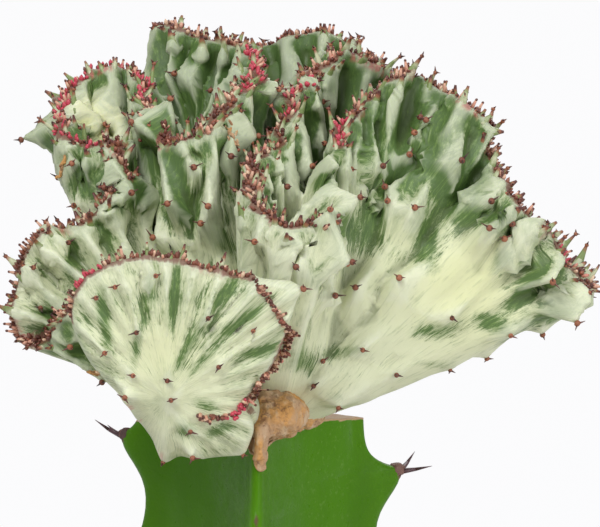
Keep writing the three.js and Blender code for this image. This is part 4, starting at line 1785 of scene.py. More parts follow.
@dataclass
class FrontFan:
    """The pad in front of the crest, ribbed like a scallop shell."""

    centre: tuple[float, float, float] = (-21.0, 3.5, -34.0)
    reach: tuple[tuple[float, float], ...] = (
        (-35, 20.5), (-17, 20.5), (-4, 17), (6, 18.5), (13, 22.3), (21, 25.7), (28, 29),
        (45, 30.3), (56, 31.3), (70, 30.0), (85, 30.2), (101, 31.4), (120, 32), (133, 30.2),
        (140, 27), (148, 21.5), (156, 17), (168, 10.5), (195, 8), (230, 7.5), (252, 9),
        (268, 13.5), (283, 12.3), (296, 14.5), (311, 16.5), (325, 20.5),
    )
    half: tuple[tuple[float, float], ...] = (
        (0.0, 5.5), (0.3, 5.2), (0.55, 4.8), (0.78, 4.0), (0.93, 2.9), (1.0, 2.0),
    )
    lean: float = 3.2
    rib_turn: float = 10.4
    rib_height: float = 1.15
    turn_steps: int = 240
    share_steps: int = 36
    rim_start: float = 0.98
    start_mark: float = 1500.0
    growing: tuple[float, float] = (-12.0, 141.0)
    seed: int = 5

    def __post_init__(self) -> None:
        """Works out the pad's directions and reach."""
        self.degrees = np.linspace(-35.0, 325.0, self.turn_steps, endpoint=False)
        turns, reaches = zip(*self.reach)
        reach = np.interp(self.degrees, turns, reaches)
        wrapped = np.concatenate([reach[-12:], reach, reach[:12]])
        self.extent = smoothed_along(wrapped, 2.2)[12:-12]
        draw = random.Random(self.seed)
        ribs = [-40.0]
        while ribs[-1] < 330.0:
            ribs.append(ribs[-1] + self.rib_turn * draw.uniform(0.75, 1.3))
        self.phase = 2 * np.pi * np.interp(self.degrees, ribs, np.arange(len(ribs)))

    def point(self, degrees: Array, extent: Array, share: Array, lift: Array) -> Array:
        """Places on the pad, from polar readings.

        Args:
            degrees: direction from the pad's centre.
            extent: reach of the pad in that direction.
            share: share of that reach.
            lift: distance behind the pad's middle.

        Returns:
            The places, in mm.
        """
        turn = np.radians(degrees)
        across = self.centre[0] + extent * share * np.cos(turn)
        up = self.centre[1] + extent * share * np.sin(turn)
        deep = self.centre[2] - self.lean * np.sin(turn) * share**2 + lift
        spread = 1.0 + deep / EYE.distance
        x = EYE.across + (across - EYE.across) * spread
        rise = (up - EYE.up) * spread - deep * math.sin(EYE.pitch)
        return np.stack([x, deep, (EYE.up + rise) / math.cos(EYE.pitch)], axis=-1)

    def rings(self) -> tuple[Array, dict[str, Array]]:
        """Rows of the pad by direction: front face out to the rim, then the back face in.

        Returns:
            The places, and the growth marks of each.
        """
        shares = np.linspace(0.02, self.rim_start, self.share_steps)
        half = np.interp(shares, *zip(*self.half))
        angle = np.linspace(-math.pi / 2, math.pi / 2, 9)[1:-1]
        bulge = self.rim_start + 0.045 * np.cos(angle)
        flesh = np.zeros(len(shares))
        fade = smooth_step(shares, 0.12, 0.75)
        upper = smooth_step(self.extent, 14.0, 26.0)
        rows, marks = [], []
        for degrees, extent, phase, strong in zip(self.degrees, self.extent, self.phase, upper):
            ridge = 1.0 - 2.0 * abs(math.sin(phase / 2))
            behind = 1.0 - 2.0 * abs(math.cos(phase / 2))
            height = self.rib_height * fade * (0.35 + 0.65 * strong)
            front = self.point(degrees, extent, shares, -(half + height * ridge))
            back = self.point(degrees, extent, shares, half + height * behind)
            wave = -0.5 * strong * math.cos(phase)
            rim = self.point(degrees, extent, bulge, 2.1 * np.sin(angle) + wave)
            rows.append(np.concatenate([front, rim, back[::-1]]))
            inward = extent * (1 - shares)
            below = np.concatenate([inward, np.zeros(len(angle)), inward[::-1]])
            along = np.full(len(below), self.start_mark + math.radians(degrees) * 32.0)
            grows = 1.0 if self.growing[0] < degrees < self.growing[1] else 0.0
            edge = np.concatenate([flesh, grows * np.cos(angle) ** 0.5, flesh])
            marks.append(np.stack([along, below, edge], axis=1))
        places = np.array(rows)
        middle = np.array(EYE.place(self.centre))
        return places, {"growth": np.array(marks), "toward": unit(places - middle)}


@dataclass(frozen=True)
class Tooth:
    """A tooth of a face: the vertex it stands on, its direction, height and half width."""

    centre: int
    out: Array
    height: float
    width: float


class Skin:
    """The fused body's vertices while its teeth are raised, and what finds them."""

    farthest_tip = 14.0
    least_height = 0.8
    hidden_reach = 2.4
    hidden_spacing = 6.5
    closest_neighbour = 3.0
    farthest_neighbour = 12.5

    def __init__(self, mesh: bpy.types.Mesh, ways: Array) -> None:
        """Reads the body.

        Args:
            mesh: the fused body, in mm.
            ways: direction towards the margin at each vertex.
        """
        count = len(mesh.vertices)
        self.before = corner_places(mesh)
        self.normals = np.array([vert.normal for vert in mesh.vertices])
        self.ways = unit(ways - self.normals * np.einsum("ij,ij->i", ways, self.normals)[:, None])
        self.tree = search_tree(mesh)
        self.finder = KDTree(count)
        for index, place in enumerate(self.before):
            self.finder.insert(place, index)
        self.finder.balance()
        self.teeth: list[Tooth] = []
        self.lift = np.zeros(count)
        self.lift_way = np.zeros((count, 3))

    def seen_tooth(self, group: TeethSeen, wanted: tuple[float, float]) -> Tooth | None:
        """Finds the tooth whose tip is seen at a place on the picture plane.

        Args:
            group: the teeth that it belongs to.
            wanted: across and up of its tip.

        Returns:
            The tooth, or None where the skin is out of reach.
        """
        aim = wanted
        for _ in range(3):
            spot = self.tree.ray_cast(*EYE.sight(*aim))[0]
            if spot is None:
                return self.outline_tooth(group, wanted)
            index = self.finder.find(spot)[1]
            out = unit(self.normals[index] + 0.45 * self.ways[index])
            seen = EYE.seen_at(Vector(self.before[index] + out * group.height))
            aim = (aim[0] + 0.8 * (wanted[0] - seen[0]), aim[1] + 0.8 * (wanted[1] - seen[1]))
        return Tooth(index, out, group.height, group.width)

    def outline_tooth(self, group: TeethSeen, wanted: tuple[float, float]) -> Tooth | None:
        """Finds a tooth whose tip stands clear of the body's outline.

        Args:
            group: the teeth that it belongs to.
            wanted: across and up of its tip.

        Returns:
            The tooth, or None where the skin is out of reach.
        """
        start, way, run, away = EYE.beside_sight(wanted, self.before)
        index = int(np.argmin(away))
        if away[index] > self.farthest_tip:
            return None
        out = start + way * run[index] - self.before[index]
        height = float(np.linalg.norm(out))
        if height < self.least_height:
            return Tooth(index, self.normals[index], self.least_height, group.width)
        return Tooth(index, unit(out), height, max(group.width, 0.7 * height))

    def hidden_tooth(self, near: Vector, height: float, width: float) -> Tooth | None:
        """Finds a tooth near a place, unless the eye sees that place or a tooth is close.

        Args:
            near: the place.
            height: the tooth's height.
            width: half its width.

        Returns:
            The tooth, or None.
        """
        spot, _, _, away = self.tree.find_nearest(near)
        if away > self.hidden_reach:
            return None
        centres = (self.before[tooth.centre] for tooth in self.teeth)
        if any(np.linalg.norm(at - np.array(spot)) < self.hidden_spacing for at in centres):
            return None
        index = self.finder.find(spot)[1]
        normal = Vector(self.normals[index])
        sight = (EYE.place_of_eye - spot).normalized()
        in_view = self.tree.ray_cast(spot + normal * 0.6, sight)[0] is None
        if in_view and normal.dot(sight) > 0.25:
            return None
        return Tooth(index, unit(self.normals[index] + 0.25 * self.ways[index]), height, width)

    def raise_at(
        self, index: int, out: Array, height: float, spans: tuple[float, float, float]
    ) -> None:
        """Raises a ridge at a vertex, long towards the margin and steep on the other side.

        Args:
            index: the vertex.
            out: direction of the lift.
            height: its height.
            spans: half width, length towards the margin, length away from it.
        """
        half, long, short = spans
        normal, up = self.normals[index], self.ways[index]
        offset = self.before - self.before[index]
        reach = max(spans) + 0.5
        near = np.einsum("ij,ij->i", offset, offset) < reach**2
        close = np.nonzero(near & (self.normals @ normal > 0.15))[0]
        rise = offset[close] @ up
        across = np.abs(offset[close] @ np.cross(normal, up))
        narrow = np.where(rise > 0, 1.0 - 0.45 * np.clip(rise / long, 0, 1), 1.0)
        flank = np.clip(1.0 - across / (half * narrow), 0, 1)
        ahead = np.clip(1.0 - rise / long, 0, 1) ** 1.15
        behind = np.clip(1.0 + rise / short, 0, 1) ** 1.4
        lift = height * flank**1.35 * np.where(rise > 0, ahead, behind)
        higher = lift > self.lift[close]
        chosen = close[higher]
        self.lift[chosen] = lift[higher]
        self.lift_way[chosen] = out

    def raise_teeth(self) -> None:
        """Raises every tooth, and the thin webs that hang between neighbours."""
        for tooth in self.teeth:
            spans = (tooth.width, 2.4 * tooth.width, 1.15 * tooth.width)
            self.raise_at(tooth.centre, tooth.out, tooth.height, spans)
        for first, second in self.neighbours():
            self.raise_web(first, second)

    def neighbours(self) -> list[tuple[Tooth, Tooth]]:
        """Pairs of teeth that stand side by side.

        Returns:
            The pairs.
        """
        pairs = set()
        for a, tooth in enumerate(self.teeth):
            k = tooth.centre
            side = np.cross(self.normals[k], self.ways[k])
            for hand in (-1.0, 1.0):
                best, nearest = None, self.farthest_neighbour
                for b, other in enumerate(self.teeth):
                    offset = self.before[other.centre] - self.before[k]
                    length = float(np.linalg.norm(offset))
                    alike = self.normals[other.centre] @ self.normals[k] >= 0.1
                    if not alike or not self.closest_neighbour < length < nearest:
                        continue
                    if hand * (offset @ side) > 0.72 * length:
                        best, nearest = b, length
                if best is not None:
                    pairs.add((min(a, best), max(a, best)))
        return [(self.teeth[a], self.teeth[b]) for a, b in sorted(pairs)]

    def raise_web(self, first: Tooth, second: Tooth, steps: int = 9) -> None:
        """Raises the web between two teeth, which sags away from the margin.

        Args:
            first: one tooth.
            second: the other.
            steps: number of points along the web.
        """
        start, end = self.before[first.centre], self.before[second.centre]
        length = float(np.linalg.norm(end - start))
        up = unit(self.ways[first.centre] + self.ways[second.centre])
        crest_height = 0.6 * min(first.height, second.height)
        for share in np.linspace(0.0, 1.0, steps + 2)[1:-1]:
            guess = start + (end - start) * share - up * length * 0.5 * share * (1 - share)
            index = self.finder.find(guess)[1]
            if np.linalg.norm(self.before[index] - guess) > 2.5:
                continue
            height = crest_height * (0.45 + 0.55 * abs(2 * share - 1) ** 1.5)
            out = unit(self.normals[index] + 0.2 * self.ways[index])
            self.raise_at(index, out, height, (length / steps + 1.0, 4.2, 1.1))


@dataclass
class Crest:
    """The crest: one fleshy body with its buds, areoles and spines."""

    sheet: WindingSheet = field(default_factory=WindingSheet)
    fan: FrontFan = field(default_factory=FrontFan)
    voxel: float = 0.78
    most_triangles: int = 190_000
    lumps: tuple[tuple[tuple[float, float, float], tuple[float, float, float]], ...] = (
        ((3, -3, 8), (15, 13, 12)),
        ((-12, -24, 5), (13, 13, 7)),
        ((16, -8, 11), (14, 9, 8)),
    )
    relief_rounds: int = 22
    relief_height: float = 0.9
    young_spacing: tuple[float, float] = (2.5, 4.4)
    young_length: tuple[float, float] = (3.0, 5.6)
    young_width: tuple[float, float] = (1.2, 1.8)
    face_height: tuple[float, float] = (3.4, 6.0)
    face_width: tuple[float, float] = (3.6, 5.2)
    face_spacing: tuple[float, float] = (11.0, 15.0)
    face_depth: float = 34.0
    bud_spacing: tuple[float, float] = (0.45, 0.85)
    bud_size: tuple[float, float] = (0.26, 0.60)
    bud_reach: float = 3.0
    stalk_chance: float = 0.07
    stalk_length: tuple[float, float] = (1.5, 2.6)
    red_chance: float = 0.8
    pad_size: float = 0.60
    spine_length: tuple[float, float] = (0.9, 1.7)
    spine_radius: float = 0.29
    seed: int = 23

    def __post_init__(self) -> None:
        """Starts the seeded draw, and the lists of tips and young teeth."""
        self.draw = random.Random(self.seed)
        self.tips: list[Tip] = []
        self.young: list[YoungShape] = []

    def source(self) -> bmesh.types.BMesh:
        """Sheet and fan as overlapping skins in mm, with their growth marks.

        Returns:
            The skins.
        """
        bm = bmesh.new()
        add_wrapped_grid(bm, self.sheet.rings(), self.sheet.marks())
        rows, marks = self.fan.rings()
        add_wrapped_grid(bm, rows, marks, closed_rows=True)
        bmesh.ops.recalc_face_normals(bm, faces=bm.faces)
        bm.verts.ensure_lookup_table()
        bm.faces.ensure_lookup_table()
        return bm

    def seeded_margin_teeth(self) -> list[YoungShape]:
        """Young teeth along both sides of the margin.

        Returns:
            The teeth.
        """
        sheet = self.sheet
        found = []
        for side in (1, -1):
            face = sheet.face(side)
            at = 2.0
            while at < sheet.length - 2.0:
                at += self.draw.uniform(*self.young_spacing)
                column = int(np.searchsorted(sheet.along, at))
                if not 4 < column < len(sheet.along) - 5:
                    continue
                if HEALED_STATIONS[0] < sheet.knots[column] < HEALED_STATIONS[1]:
                    continue
                below = self.draw.uniform(0.2, 2.8)
                level = int(np.argmin(np.abs(sheet.below[column] - below)))
                normal = sheet.normal[column, level] * side
                out = unit(sheet.growth[column, level] + normal * self.draw.uniform(0.15, 0.75))
                root = Vector(face[column, level] - normal * 0.5)
                tip = root + Vector(out) * self.draw.uniform(*self.young_length)
                width = self.draw.uniform(*self.young_width)
                found.append(YoungShape(root, tip, width, Vector(normal)))
        return found

    def measured_margin_teeth(self, bm: bmesh.types.BMesh) -> list[YoungShape]:
        """Young teeth whose tips are read from the picture.

        Args:
            bm: the source skins.

        Returns:
            The teeth.
        """
        growth = bm.verts.layers.float_vector["growth"]
        near = [v for v in bm.verts if v[growth][1] < 3.0]
        places = np.array([v.co for v in near])
        on_fan = np.array([v[growth][0] >= self.fan.start_mark for v in near])
        found = []
        for group in MARGIN_TEETH:
            allowed = on_fan if group.name == "fan rim" else ~on_fan
            for pixel in group.pixels:
                start, way, run, away = EYE.beside_sight(EYE.from_pixel(pixel), places)
                away[~allowed] = 1e3
                best = int(np.argmin(away + 0.004 * (run - run.min())))
                if away[best] > 9.0:
                    continue
                tip = Vector(start + way * run[best])
                root, normal = Vector(places[best]), near[best].normal.copy()
                if (tip - root).length < group.height * 0.6:
                    root = tip - (tip - root + normal * 1.5).normalized() * group.height * 0.6
                found.append(YoungShape(root, tip, group.width, normal))
        return found

    def add_margin_teeth(self, bm: bmesh.types.BMesh) -> None:
        """Adds the young teeth of the margin to the source skins.

        Args:
            bm: the source skins.
        """
        self.young = self.measured_margin_teeth(bm)
        measured = [tooth.root for tooth in self.young]
        for seeded in self.seeded_margin_teeth():
            if all((seeded.root - root).length > 2.6 for root in measured):
                self.young.append(seeded)
        stamps = Stamps(sides=10)
        for tooth in self.young:
            way = tooth.tip - tooth.root
            forward = way.normalized()
            foot, middle = tooth.root - forward * 1.4, tooth.root + way * 0.5
            stamps.peg(foot, middle, tooth.width * 1.25, tooth.width * 0.45)
            self.tips.append(Tip(tooth.tip, forward, 0.85))
        bm.from_mesh(stamps.mesh("young teeth", height=0.0, scale=1.0))

    def body_mesh(self, bm: bmesh.types.BMesh) -> bpy.types.Mesh:
        """Fuses the skins into one fleshy body.

        Args:
            bm: the skins with their young teeth.

        Returns:
            The body, in mm.
        """
        stamps = Stamps(rounds=4)
        for centre, radii in self.lumps:
            stamps.ball(Vector(centre), radii)
        bm.from_mesh(stamps.mesh("neck", height=0.0, scale=1.0))
        mesh = bpy.data.meshes.new("crest skins")
        bm.to_mesh(mesh)
        steps = [
            ("REMESH", {"mode": "VOXEL", "voxel_size": self.voxel, "adaptivity": 0.0}),
            ("SMOOTH", {"factor": 0.5, "iterations": 3}),
        ]
        fused = with_modifiers(mesh, steps)
        triangles = sum(len(polygon.vertices) - 2 for polygon in fused.polygons)
        LOG.info("crest fused: %d triangles", triangles)
        if triangles > self.most_triangles:
            ratio = self.most_triangles / triangles
            fused = with_modifiers(fused, [("DECIMATE", {"ratio": ratio})])
        return fused

    def transfer(
        self, mesh: bpy.types.Mesh, tree: BVHTree, bm: bmesh.types.BMesh
    ) -> tuple[Array, Array]:
        """Growth marks and growth directions at each vertex of the fused body.

        Args:
            mesh: the fused body, in mm.
            tree: search tree of the marked skins.
            bm: the marked skins.

        Returns:
            Marks (along, below, face) and unit directions towards the margin.
        """
        layers = bm.verts.layers.float_vector
        found_at = {"growth": [], "toward": []}
        for vert in mesh.vertices:
            found = tree.find_nearest_range(vert.co, 2.2) or [tree.find_nearest(vert.co)]
            normal = vert.normal
            spot, _, index, _ = min(found, key=lambda hit: hit[3] - 1.6 * hit[1].dot(normal))
            corners = bm.faces[index].verts
            weights = poly_3d_calc([corner.co for corner in corners], spot)
            for name, values in found_at.items():
                layer = layers[name]
                blend = (corner[layer] * w for corner, w in zip(corners, weights))
                values.append(sum(blend, Vector()))
        return np.array(found_at["growth"]), unit(np.array(found_at["toward"]))

    def add_face_teeth(self, mesh: bpy.types.Mesh, marks: Array, ways: Array) -> None:
        """Raises the teeth of both faces: those that are seen, and seeded ones elsewhere.

        Args:
            mesh: the fused body, in mm; its vertices are moved.
            marks: growth marks of each vertex; what has been raised loses its growing edge.
            ways: direction towards the margin at each vertex.
        """
        skin = Skin(mesh, ways)
        for group in FACE_TEETH:
            for pixel in group.pixels:
                tooth = skin.seen_tooth(group, EYE.from_pixel(pixel))
                if tooth:
                    skin.teeth.append(tooth)
        for spot, height in self.seeded_face_teeth():
            tooth = skin.hidden_tooth(spot, height, self.draw.uniform(*self.face_width))
            if tooth:
                skin.teeth.append(tooth)
        skin.raise_teeth()
        for tooth in skin.teeth:
            place = Vector(skin.before[tooth.centre] + tooth.out * tooth.height)
            self.tips.append(Tip(place, Vector(tooth.out), min(1.3, 0.8 + tooth.height * 0.08)))
        marks[skin.lift > 2.0, 2] = 0.0
        marks[:, 1] += 2.0 * np.clip(skin.lift - 1.0, 0.0, 4.0)
        places = skin.before + skin.lift_way * skin.lift[:, None]
        mesh.vertices.foreach_set("co", places.ravel())
        mesh.update()

    def seeded_face_teeth(self) -> list[tuple[Vector, float]]:
        """Places for the teeth of the faces that the picture doesn't show.

        Returns:
            Place and height of each tooth.
        """
        sheet = self.sheet
        found = []
        for side in (1, -1):
            face = sheet.face(side)
            ribs = sheet.ribs if side > 0 else (sheet.ribs[:-1] + sheet.ribs[1:]) / 2
            for number, along in enumerate(ribs):
                column = int(np.searchsorted(sheet.along, along))
                if not 6 < column < len(sheet.along) - 7:
                    continue
                below = 7.5 + 5.5 * (number % 2) + self.draw.uniform(-1.0, 1.0)
                while below < self.face_depth:
                    level = int(np.argmin(np.abs(sheet.below[column] - below)))
                    height = self.draw.uniform(*self.face_height) * (1.0 if below < 16 else 0.65)
                    found.append((Vector(face[column, level]), height))
                    below += self.draw.uniform(*self.face_spacing)
        return found

    def relief(self, mesh: bpy.types.Mesh, normals: Array) -> Array:
        """How far each vertex stands out of the skin round it.

        Args:
            mesh: the finished body, in mm.
            normals: normal of each vertex.

        Returns:
            The relief: above 0 on a ridge and below 0 in a hollow.
        """
        edges = np.empty(len(mesh.edges) * 2, int)
        mesh.edges.foreach_get("vertices", edges)
        places = corner_places(mesh)
        smoothed = places
        for _ in range(self.relief_rounds):
            smoothed = neighbour_mean(smoothed, edges.reshape(-1, 2))
        relief = np.einsum("ij,ij->i", places - smoothed, normals)
        return np.clip(relief / self.relief_height, -1.3, 1.3)

    def paint(self, mesh: bpy.types.Mesh, marks: Array) -> None:
        """Stores the growth marks and the skin's relief, greenness and yellowness.

        Args:
            mesh: the finished body, in mm.
            marks: growth marks of each vertex.
        """
        places = corner_places(mesh)
        normals = np.array([v.normal for v in mesh.vertices])
        across, up = EYE.seen_all(places)
        deep, below = places[:, 1], marks[:, 1]
        facing = np.clip(-normals[:, 1], 0.0, 1.0)

        def spot(x: float, z: float, radius: float) -> Array:
            """Soft round patch seen from the front."""
            return np.exp(-(((across - x) / radius) ** 2 + ((up - z) / radius) ** 2))

        green = 0.20 + 0.29 * smooth_step(up, 34, 62) + 0.34 * smooth_step(deep, -6, 24)
        green += 0.14 * smooth_step(below, 18, 4) - 0.32 * smooth_step(below, 26, 44)
        green += 0.10 * smooth_step(up, 66, 80) - 0.05 * smooth_step(marks[:, 0], 1400, 1401)
        for x, z, radius, weight in PALE_SPOTS:
            green -= weight * spot(x, z, radius) * facing
        in_front = smooth_step(normals[:, 1], 0.35, 0.05)
        for patch in GREEN_PATCHES:
            turn = math.radians(patch.slope)
            x, z = across - patch.across, up - patch.up
            run = x * math.cos(turn) + z * math.sin(turn)
            off = z * math.cos(turn) - x * math.sin(turn)
            share = (run / (1.15 * patch.length)) ** 2 + (off / (1.35 * patch.width)) ** 2
            green += 0.58 * np.exp(-share) * in_front
        cup = spot(*YELLOW_CUP) * smooth_step(deep, 3, 9)
        yellow = 1.6 * cup
        for x, z, radius, weight in YELLOW_SPOTS:
            yellow += weight * spot(x, z, radius) * facing
        green -= 0.75 * cup
        # The stored relief drives the finish's painted shade in hollows and its painted highlight on
        # ridges.
        tints = [self.relief(mesh, normals), np.clip(green, 0.0, 1.0), np.clip(yellow, 0.0, 1.0)]
        set_attribute(mesh, "growth", marks)
        set_attribute(mesh, "skin", np.stack(tints, axis=1))

    def young_piece(self, material: bpy.types.Material) -> bpy.types.Object:
        """Pointed ends of the young teeth.

        Args:
            material: their finish.

        Returns:
            The piece.
        """
        stamps = Stamps(sides=9)
        for tooth in self.young:
            across = tooth.across
            forward = (tooth.tip - tooth.root).normalized()
            lean = (across - forward * across.dot(forward)) * self.draw.uniform(-0.2, 0.9)
            foot, shift = tooth.root - forward * 0.8, self.draw.uniform(-0.12, 0.12)
            stamps.horn(foot, tooth.tip, across, tooth.width, 0.30, lean, shift)
        return link_piece("crest_young_teeth", stamps.mesh("young teeth"), material)

    def bud_lines(self, body: BVHTree) -> list[tuple[Array, Array, Array, Array]]:
        """Lines that the buds follow: the sheet's margin, the fan's rim, and the frill twice.

        Args:
            body: search tree of the finished body, in mm.

        Returns:
            Places, outward directions, side directions and stations of each line.
        """
        sheet, fan = self.sheet, self.fan
        top = sheet.waved()[:, -1] + sheet.growth[:, -1] * sheet.margin_rise
        turns = np.linspace(48.0, 141.0, 90)
        extent = np.interp(turns, fan.degrees, fan.extent)
        rim = fan.point(turns, extent, 1.02, 0.0)
        outward = unit(rim - fan.point(turns, extent, 0.6, 0.0))
        toward = np.tile((0.0, -1.0, 0.0), (len(turns), 1))
        frill = self.frill(body)
        return [
            (top, sheet.growth[:, -1], sheet.normal[:, -1], sheet.knots),
            (rim, outward, toward, np.zeros(len(turns))),
            frill,
            (frill[0] + np.array((0.5, 0.0, -0.6)), *frill[1:]),
        ]

    def frill(self, body: BVHTree) -> tuple[Array, Array, Array, Array]:
        """Line of buds down the fan's right edge and along its crease.

        Args:
            body: search tree of the finished body, in mm.

        Returns:
            Places, outward directions, side directions and stations, as for the other lines.
        """
        places = []
        for at in np.linspace(0.0, len(FRILL) - 1.0, 140):
            struck = body.ray_cast(*EYE.sight(*reading_at(FRILL, at)))
            if struck[0] is not None:
                places.append(struck[0])
        found = np.array(places)
        toward = np.tile((0.0, -1.0, 0.0), (len(found), 1))
        outward = unit(np.cross(toward, np.gradient(found, axis=0)) + 0.6 * toward)
        return found, outward, toward, np.zeros(len(found))

    def bud_tone(self, place: Vector) -> float:
        """Draws the tone of a bud: mostly brown, some pale, and crimson in the crimson spots.

        Args:
            place: where it grows, in mm.

        Returns:
            The tone.
        """
        shade = self.draw.random()
        tone = 0.02 + 0.58 * shade if shade < 0.78 else 0.74 + 0.26 * self.draw.random()
        seen = EYE.seen_at(place)
        near_red = any(math.dist(seen, (x, up)) < reach for x, up, reach in CRIMSON_SPOTS)
        if near_red and self.draw.random() < self.red_chance:
            tone = self.draw.uniform(0.57, 0.68)
        return tone

    def add_bud(self, stamps: Stamps, body: BVHTree, place: Vector, ways: list[Vector]) -> None:
        """Adds one bud, or now and then a stalk with a dark tip.

        Args:
            stamps: what takes it.
            body: search tree of the finished body, in mm.
            place: place on the line that the buds follow.
            ways: direction out of the margin, and direction to its side.
        """
        angle = self.draw.gauss(0.0, 0.62)
        out = ways[0] * math.cos(angle) + ways[1] * math.sin(angle)
        guess = place + out * 1.2
        spot, normal, _, away = body.find_nearest(guess)
        if away > self.bud_reach:
            return
        size = self.draw.uniform(*self.bud_size)
        tone = self.bud_tone(guess)
        way = (out + normal * 0.6).normalized()
        long = self.draw.uniform(1.2, 2.3)
        if self.draw.random() < self.stalk_chance:
            end = spot + way * self.draw.uniform(*self.stalk_length)
            stamps.peg(spot - way * 0.3, end, 0.55, 0.22, 0.82)
            stamps.ball(end, (0.34, 0.34, 0.4), way, 0.15)
            return
        stamps.ball(spot + way * size * 0.5, (size, size * 0.85, size * long), way, tone)

    def bud_piece(self, body: BVHTree, material: bpy.types.Material) -> bpy.types.Object:
        """Buds along the margin of the sheet, over the rim of the fan and down its frill.

        Args:
            body: search tree of the finished body, in mm.
            material: their finish.

        Returns:
            The piece.
        """
        stamps = Stamps(rounds=1)
        first_healed, last_healed = HEALED_STATIONS
        for places, outs, sides, knots in self.bud_lines(body):
            steps = np.linalg.norm(np.diff(places, axis=0), axis=1)
            run = np.concatenate([[0.0], np.cumsum(steps)])
            at = 2.0
            while at < run[-1] - 1.5:
                k = int(np.searchsorted(run, at))
                at += self.draw.uniform(*self.bud_spacing)
                if first_healed < knots[k] < last_healed:
                    continue
                ways = [Vector(outs[k]), Vector(sides[k])]
                for _ in range(self.draw.choice((1, 2, 2, 2, 3))):
                    self.add_bud(stamps, body, Vector(places[k]), ways)
        return link_piece("crest_margin_buds", stamps.mesh("buds"), material)

    def dry_piece(self, body: BVHTree, material: bpy.types.Material) -> bpy.types.Object:
        """Dry spots of the front: a corky lower edge, a scale and a tuft.

        Args:
            body: search tree of the finished body, in mm.
            material: their finish.

        Returns:
            The piece.
        """
        stamps = Stamps(rounds=2)
        for line, count, spread, size in DRY_SPOTS:
            ahead = np.array(line[-1], float) - np.array(line[0], float)
            for at in np.linspace(0.0, len(line) - 1.0, count):
                across, up = reading_at(line, at)
                across += self.draw.gauss(0.0, spread)
                up += self.draw.gauss(0.0, spread)
                struck = body.ray_cast(*EYE.sight(across, up))
                if struck[0] is None:
                    continue
                lean_across = ahead[0] + self.draw.gauss(0.0, 2.0)
                lean = Vector((lean_across, 0.0, ahead[1] + self.draw.gauss(0.0, 2.0)))
                sizes = (size * 0.7, size * 0.6, size * self.draw.uniform(1.2, 2.2))
                stamps.ball(struck[0], sizes, lean.normalized(), self.draw.random())
        return link_piece("crest_dry_spots", stamps.mesh("dry spots"), material)

    def spine_pieces(
        self, body: BVHTree, pad_skin: bpy.types.Material, spine_skin: bpy.types.Material
    ) -> list[bpy.types.Object]:
        """Brown pads on the tips of the teeth, and the paired spines that stand on them.

        Args:
            body: search tree of the finished body, in mm.
            pad_skin: finish of the pads.
            spine_skin: finish of the spines.

        Returns:
            The two pieces.
        """
        pads, spines = Stamps(rounds=2), Stamps(sides=5)
        for tip in self.tips:
            spot, _, _, away = body.find_nearest(tip.place)
            place = spot if away < 2.5 else tip.place
            out = tip.out
            size = self.pad_size * tip.size
            shade = self.draw.random()
            pads.ball(place - out * 0.05, (size, size, size * 0.85), out, shade)
            helper = Vector((0.0, 0.0, 1.0)) if abs(out.z) < 0.8 else Vector((1.0, 0.0, 0.0))
            turn = Matrix.Rotation(self.draw.uniform(-0.9, 0.9), 3, out)
            sideways = turn @ out.cross(helper).normalized()
            for hand in (-1.0, 1.0):
                way = (out * self.draw.uniform(0.35, 0.9) + sideways * hand).normalized()
                root = place + out * 0.15 + sideways * hand * 0.2
                length = self.draw.uniform(*self.spine_length) * tip.size
                spines.peg(root, root + way * length, self.spine_radius, 0.05, shade)
        return [
            link_piece("crest_areoles", pads.mesh("pads"), pad_skin),
            link_piece("crest_spines", spines.mesh("spines"), spine_skin),
        ]

    def build(self, shared: SharedEffects) -> list[bpy.types.Object]:
        """Builds the crest's pieces.

        Args:
            shared: node groups that its finishes use.

        Returns:
            The pieces.
        """
        bm = self.source()
        source_tree = BVHTree.FromBMesh(bm)
        marked = bm.copy()
        marked.verts.ensure_lookup_table()
        marked.faces.ensure_lookup_table()
        self.add_margin_teeth(bm)
        mesh = self.body_mesh(bm)
        bm.free()
        marks, ways = self.transfer(mesh, source_tree, marked)
        marked.free()
        self.add_face_teeth(mesh, marks, ways)
        self.paint(mesh, marks)
        tree = search_tree(mesh)
        mesh.transform(in_metres())
        body = link_piece("crest_body", mesh, CrestFlesh().build(shared))
        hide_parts("crest")
        buds = self.bud_piece(tree, BUD_SKIN.build(shared))
        young = self.young_piece(YoungTooth().build(shared))
        dry = self.dry_piece(tree, Cork().build(shared))
        pads, spines = CREST_PADS.build(shared), CREST_SPINES.build(shared)
        return [body, buds, young, dry, *self.spine_pieces(tree, pads, spines)]


@dataclass
class Callus:
    """Healed tissue of the graft: a collar, the swelling in front and the strip below it."""

    lumps: tuple[tuple[tuple[float, float, float], tuple[float, float, float]], ...] = (
        ((2, -4, 1), (12.5, 11, 4)),
        ((2.8, -19, 3.8), (7.6, 10.5, 5.4)),
        ((0.3, -29.5, -1.8), (1.5, 3.6, 5.4)),
    )
    voxel: float = 0.5
    lump_height: float = 0.9
    crust_height: float = 0.3

    def build(self, shared: SharedEffects) -> list[bpy.types.Object]:
        """Builds the callus.

        Args:
            shared: node groups that its finish uses.

        Returns:
            The piece, in a list.
        """
        stamps = Stamps(rounds=5)
        for centre, radii in self.lumps:
            stamps.ball(Vector(centre), radii)
        steps = [
            ("REMESH", {"mode": "VOXEL", "voxel_size": self.voxel}),
            ("SMOOTH", {"factor": 0.5, "iterations": 2}),
        ]
        fused = with_modifiers(stamps.mesh("callus skins", height=0.0, scale=1.0), steps)
        shifts = []
        for vert in fused.vertices:
            swell = self.lump_height * noise.fractal(vert.co * 0.22, 1.0, 2.0, 4)
            crust = self.crust_height * noise.fractal(vert.co * 0.9, 1.0, 2.0, 4)
            shifts.append(vert.normal * (swell + crust))
        for vert, shift in zip(fused.vertices, shifts):
            vert.co += shift
        fused.transform(in_metres())
        piece = link_piece("graft_scar", fused, Cork().build(shared))
        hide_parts("graft_callus")
        return [piece]


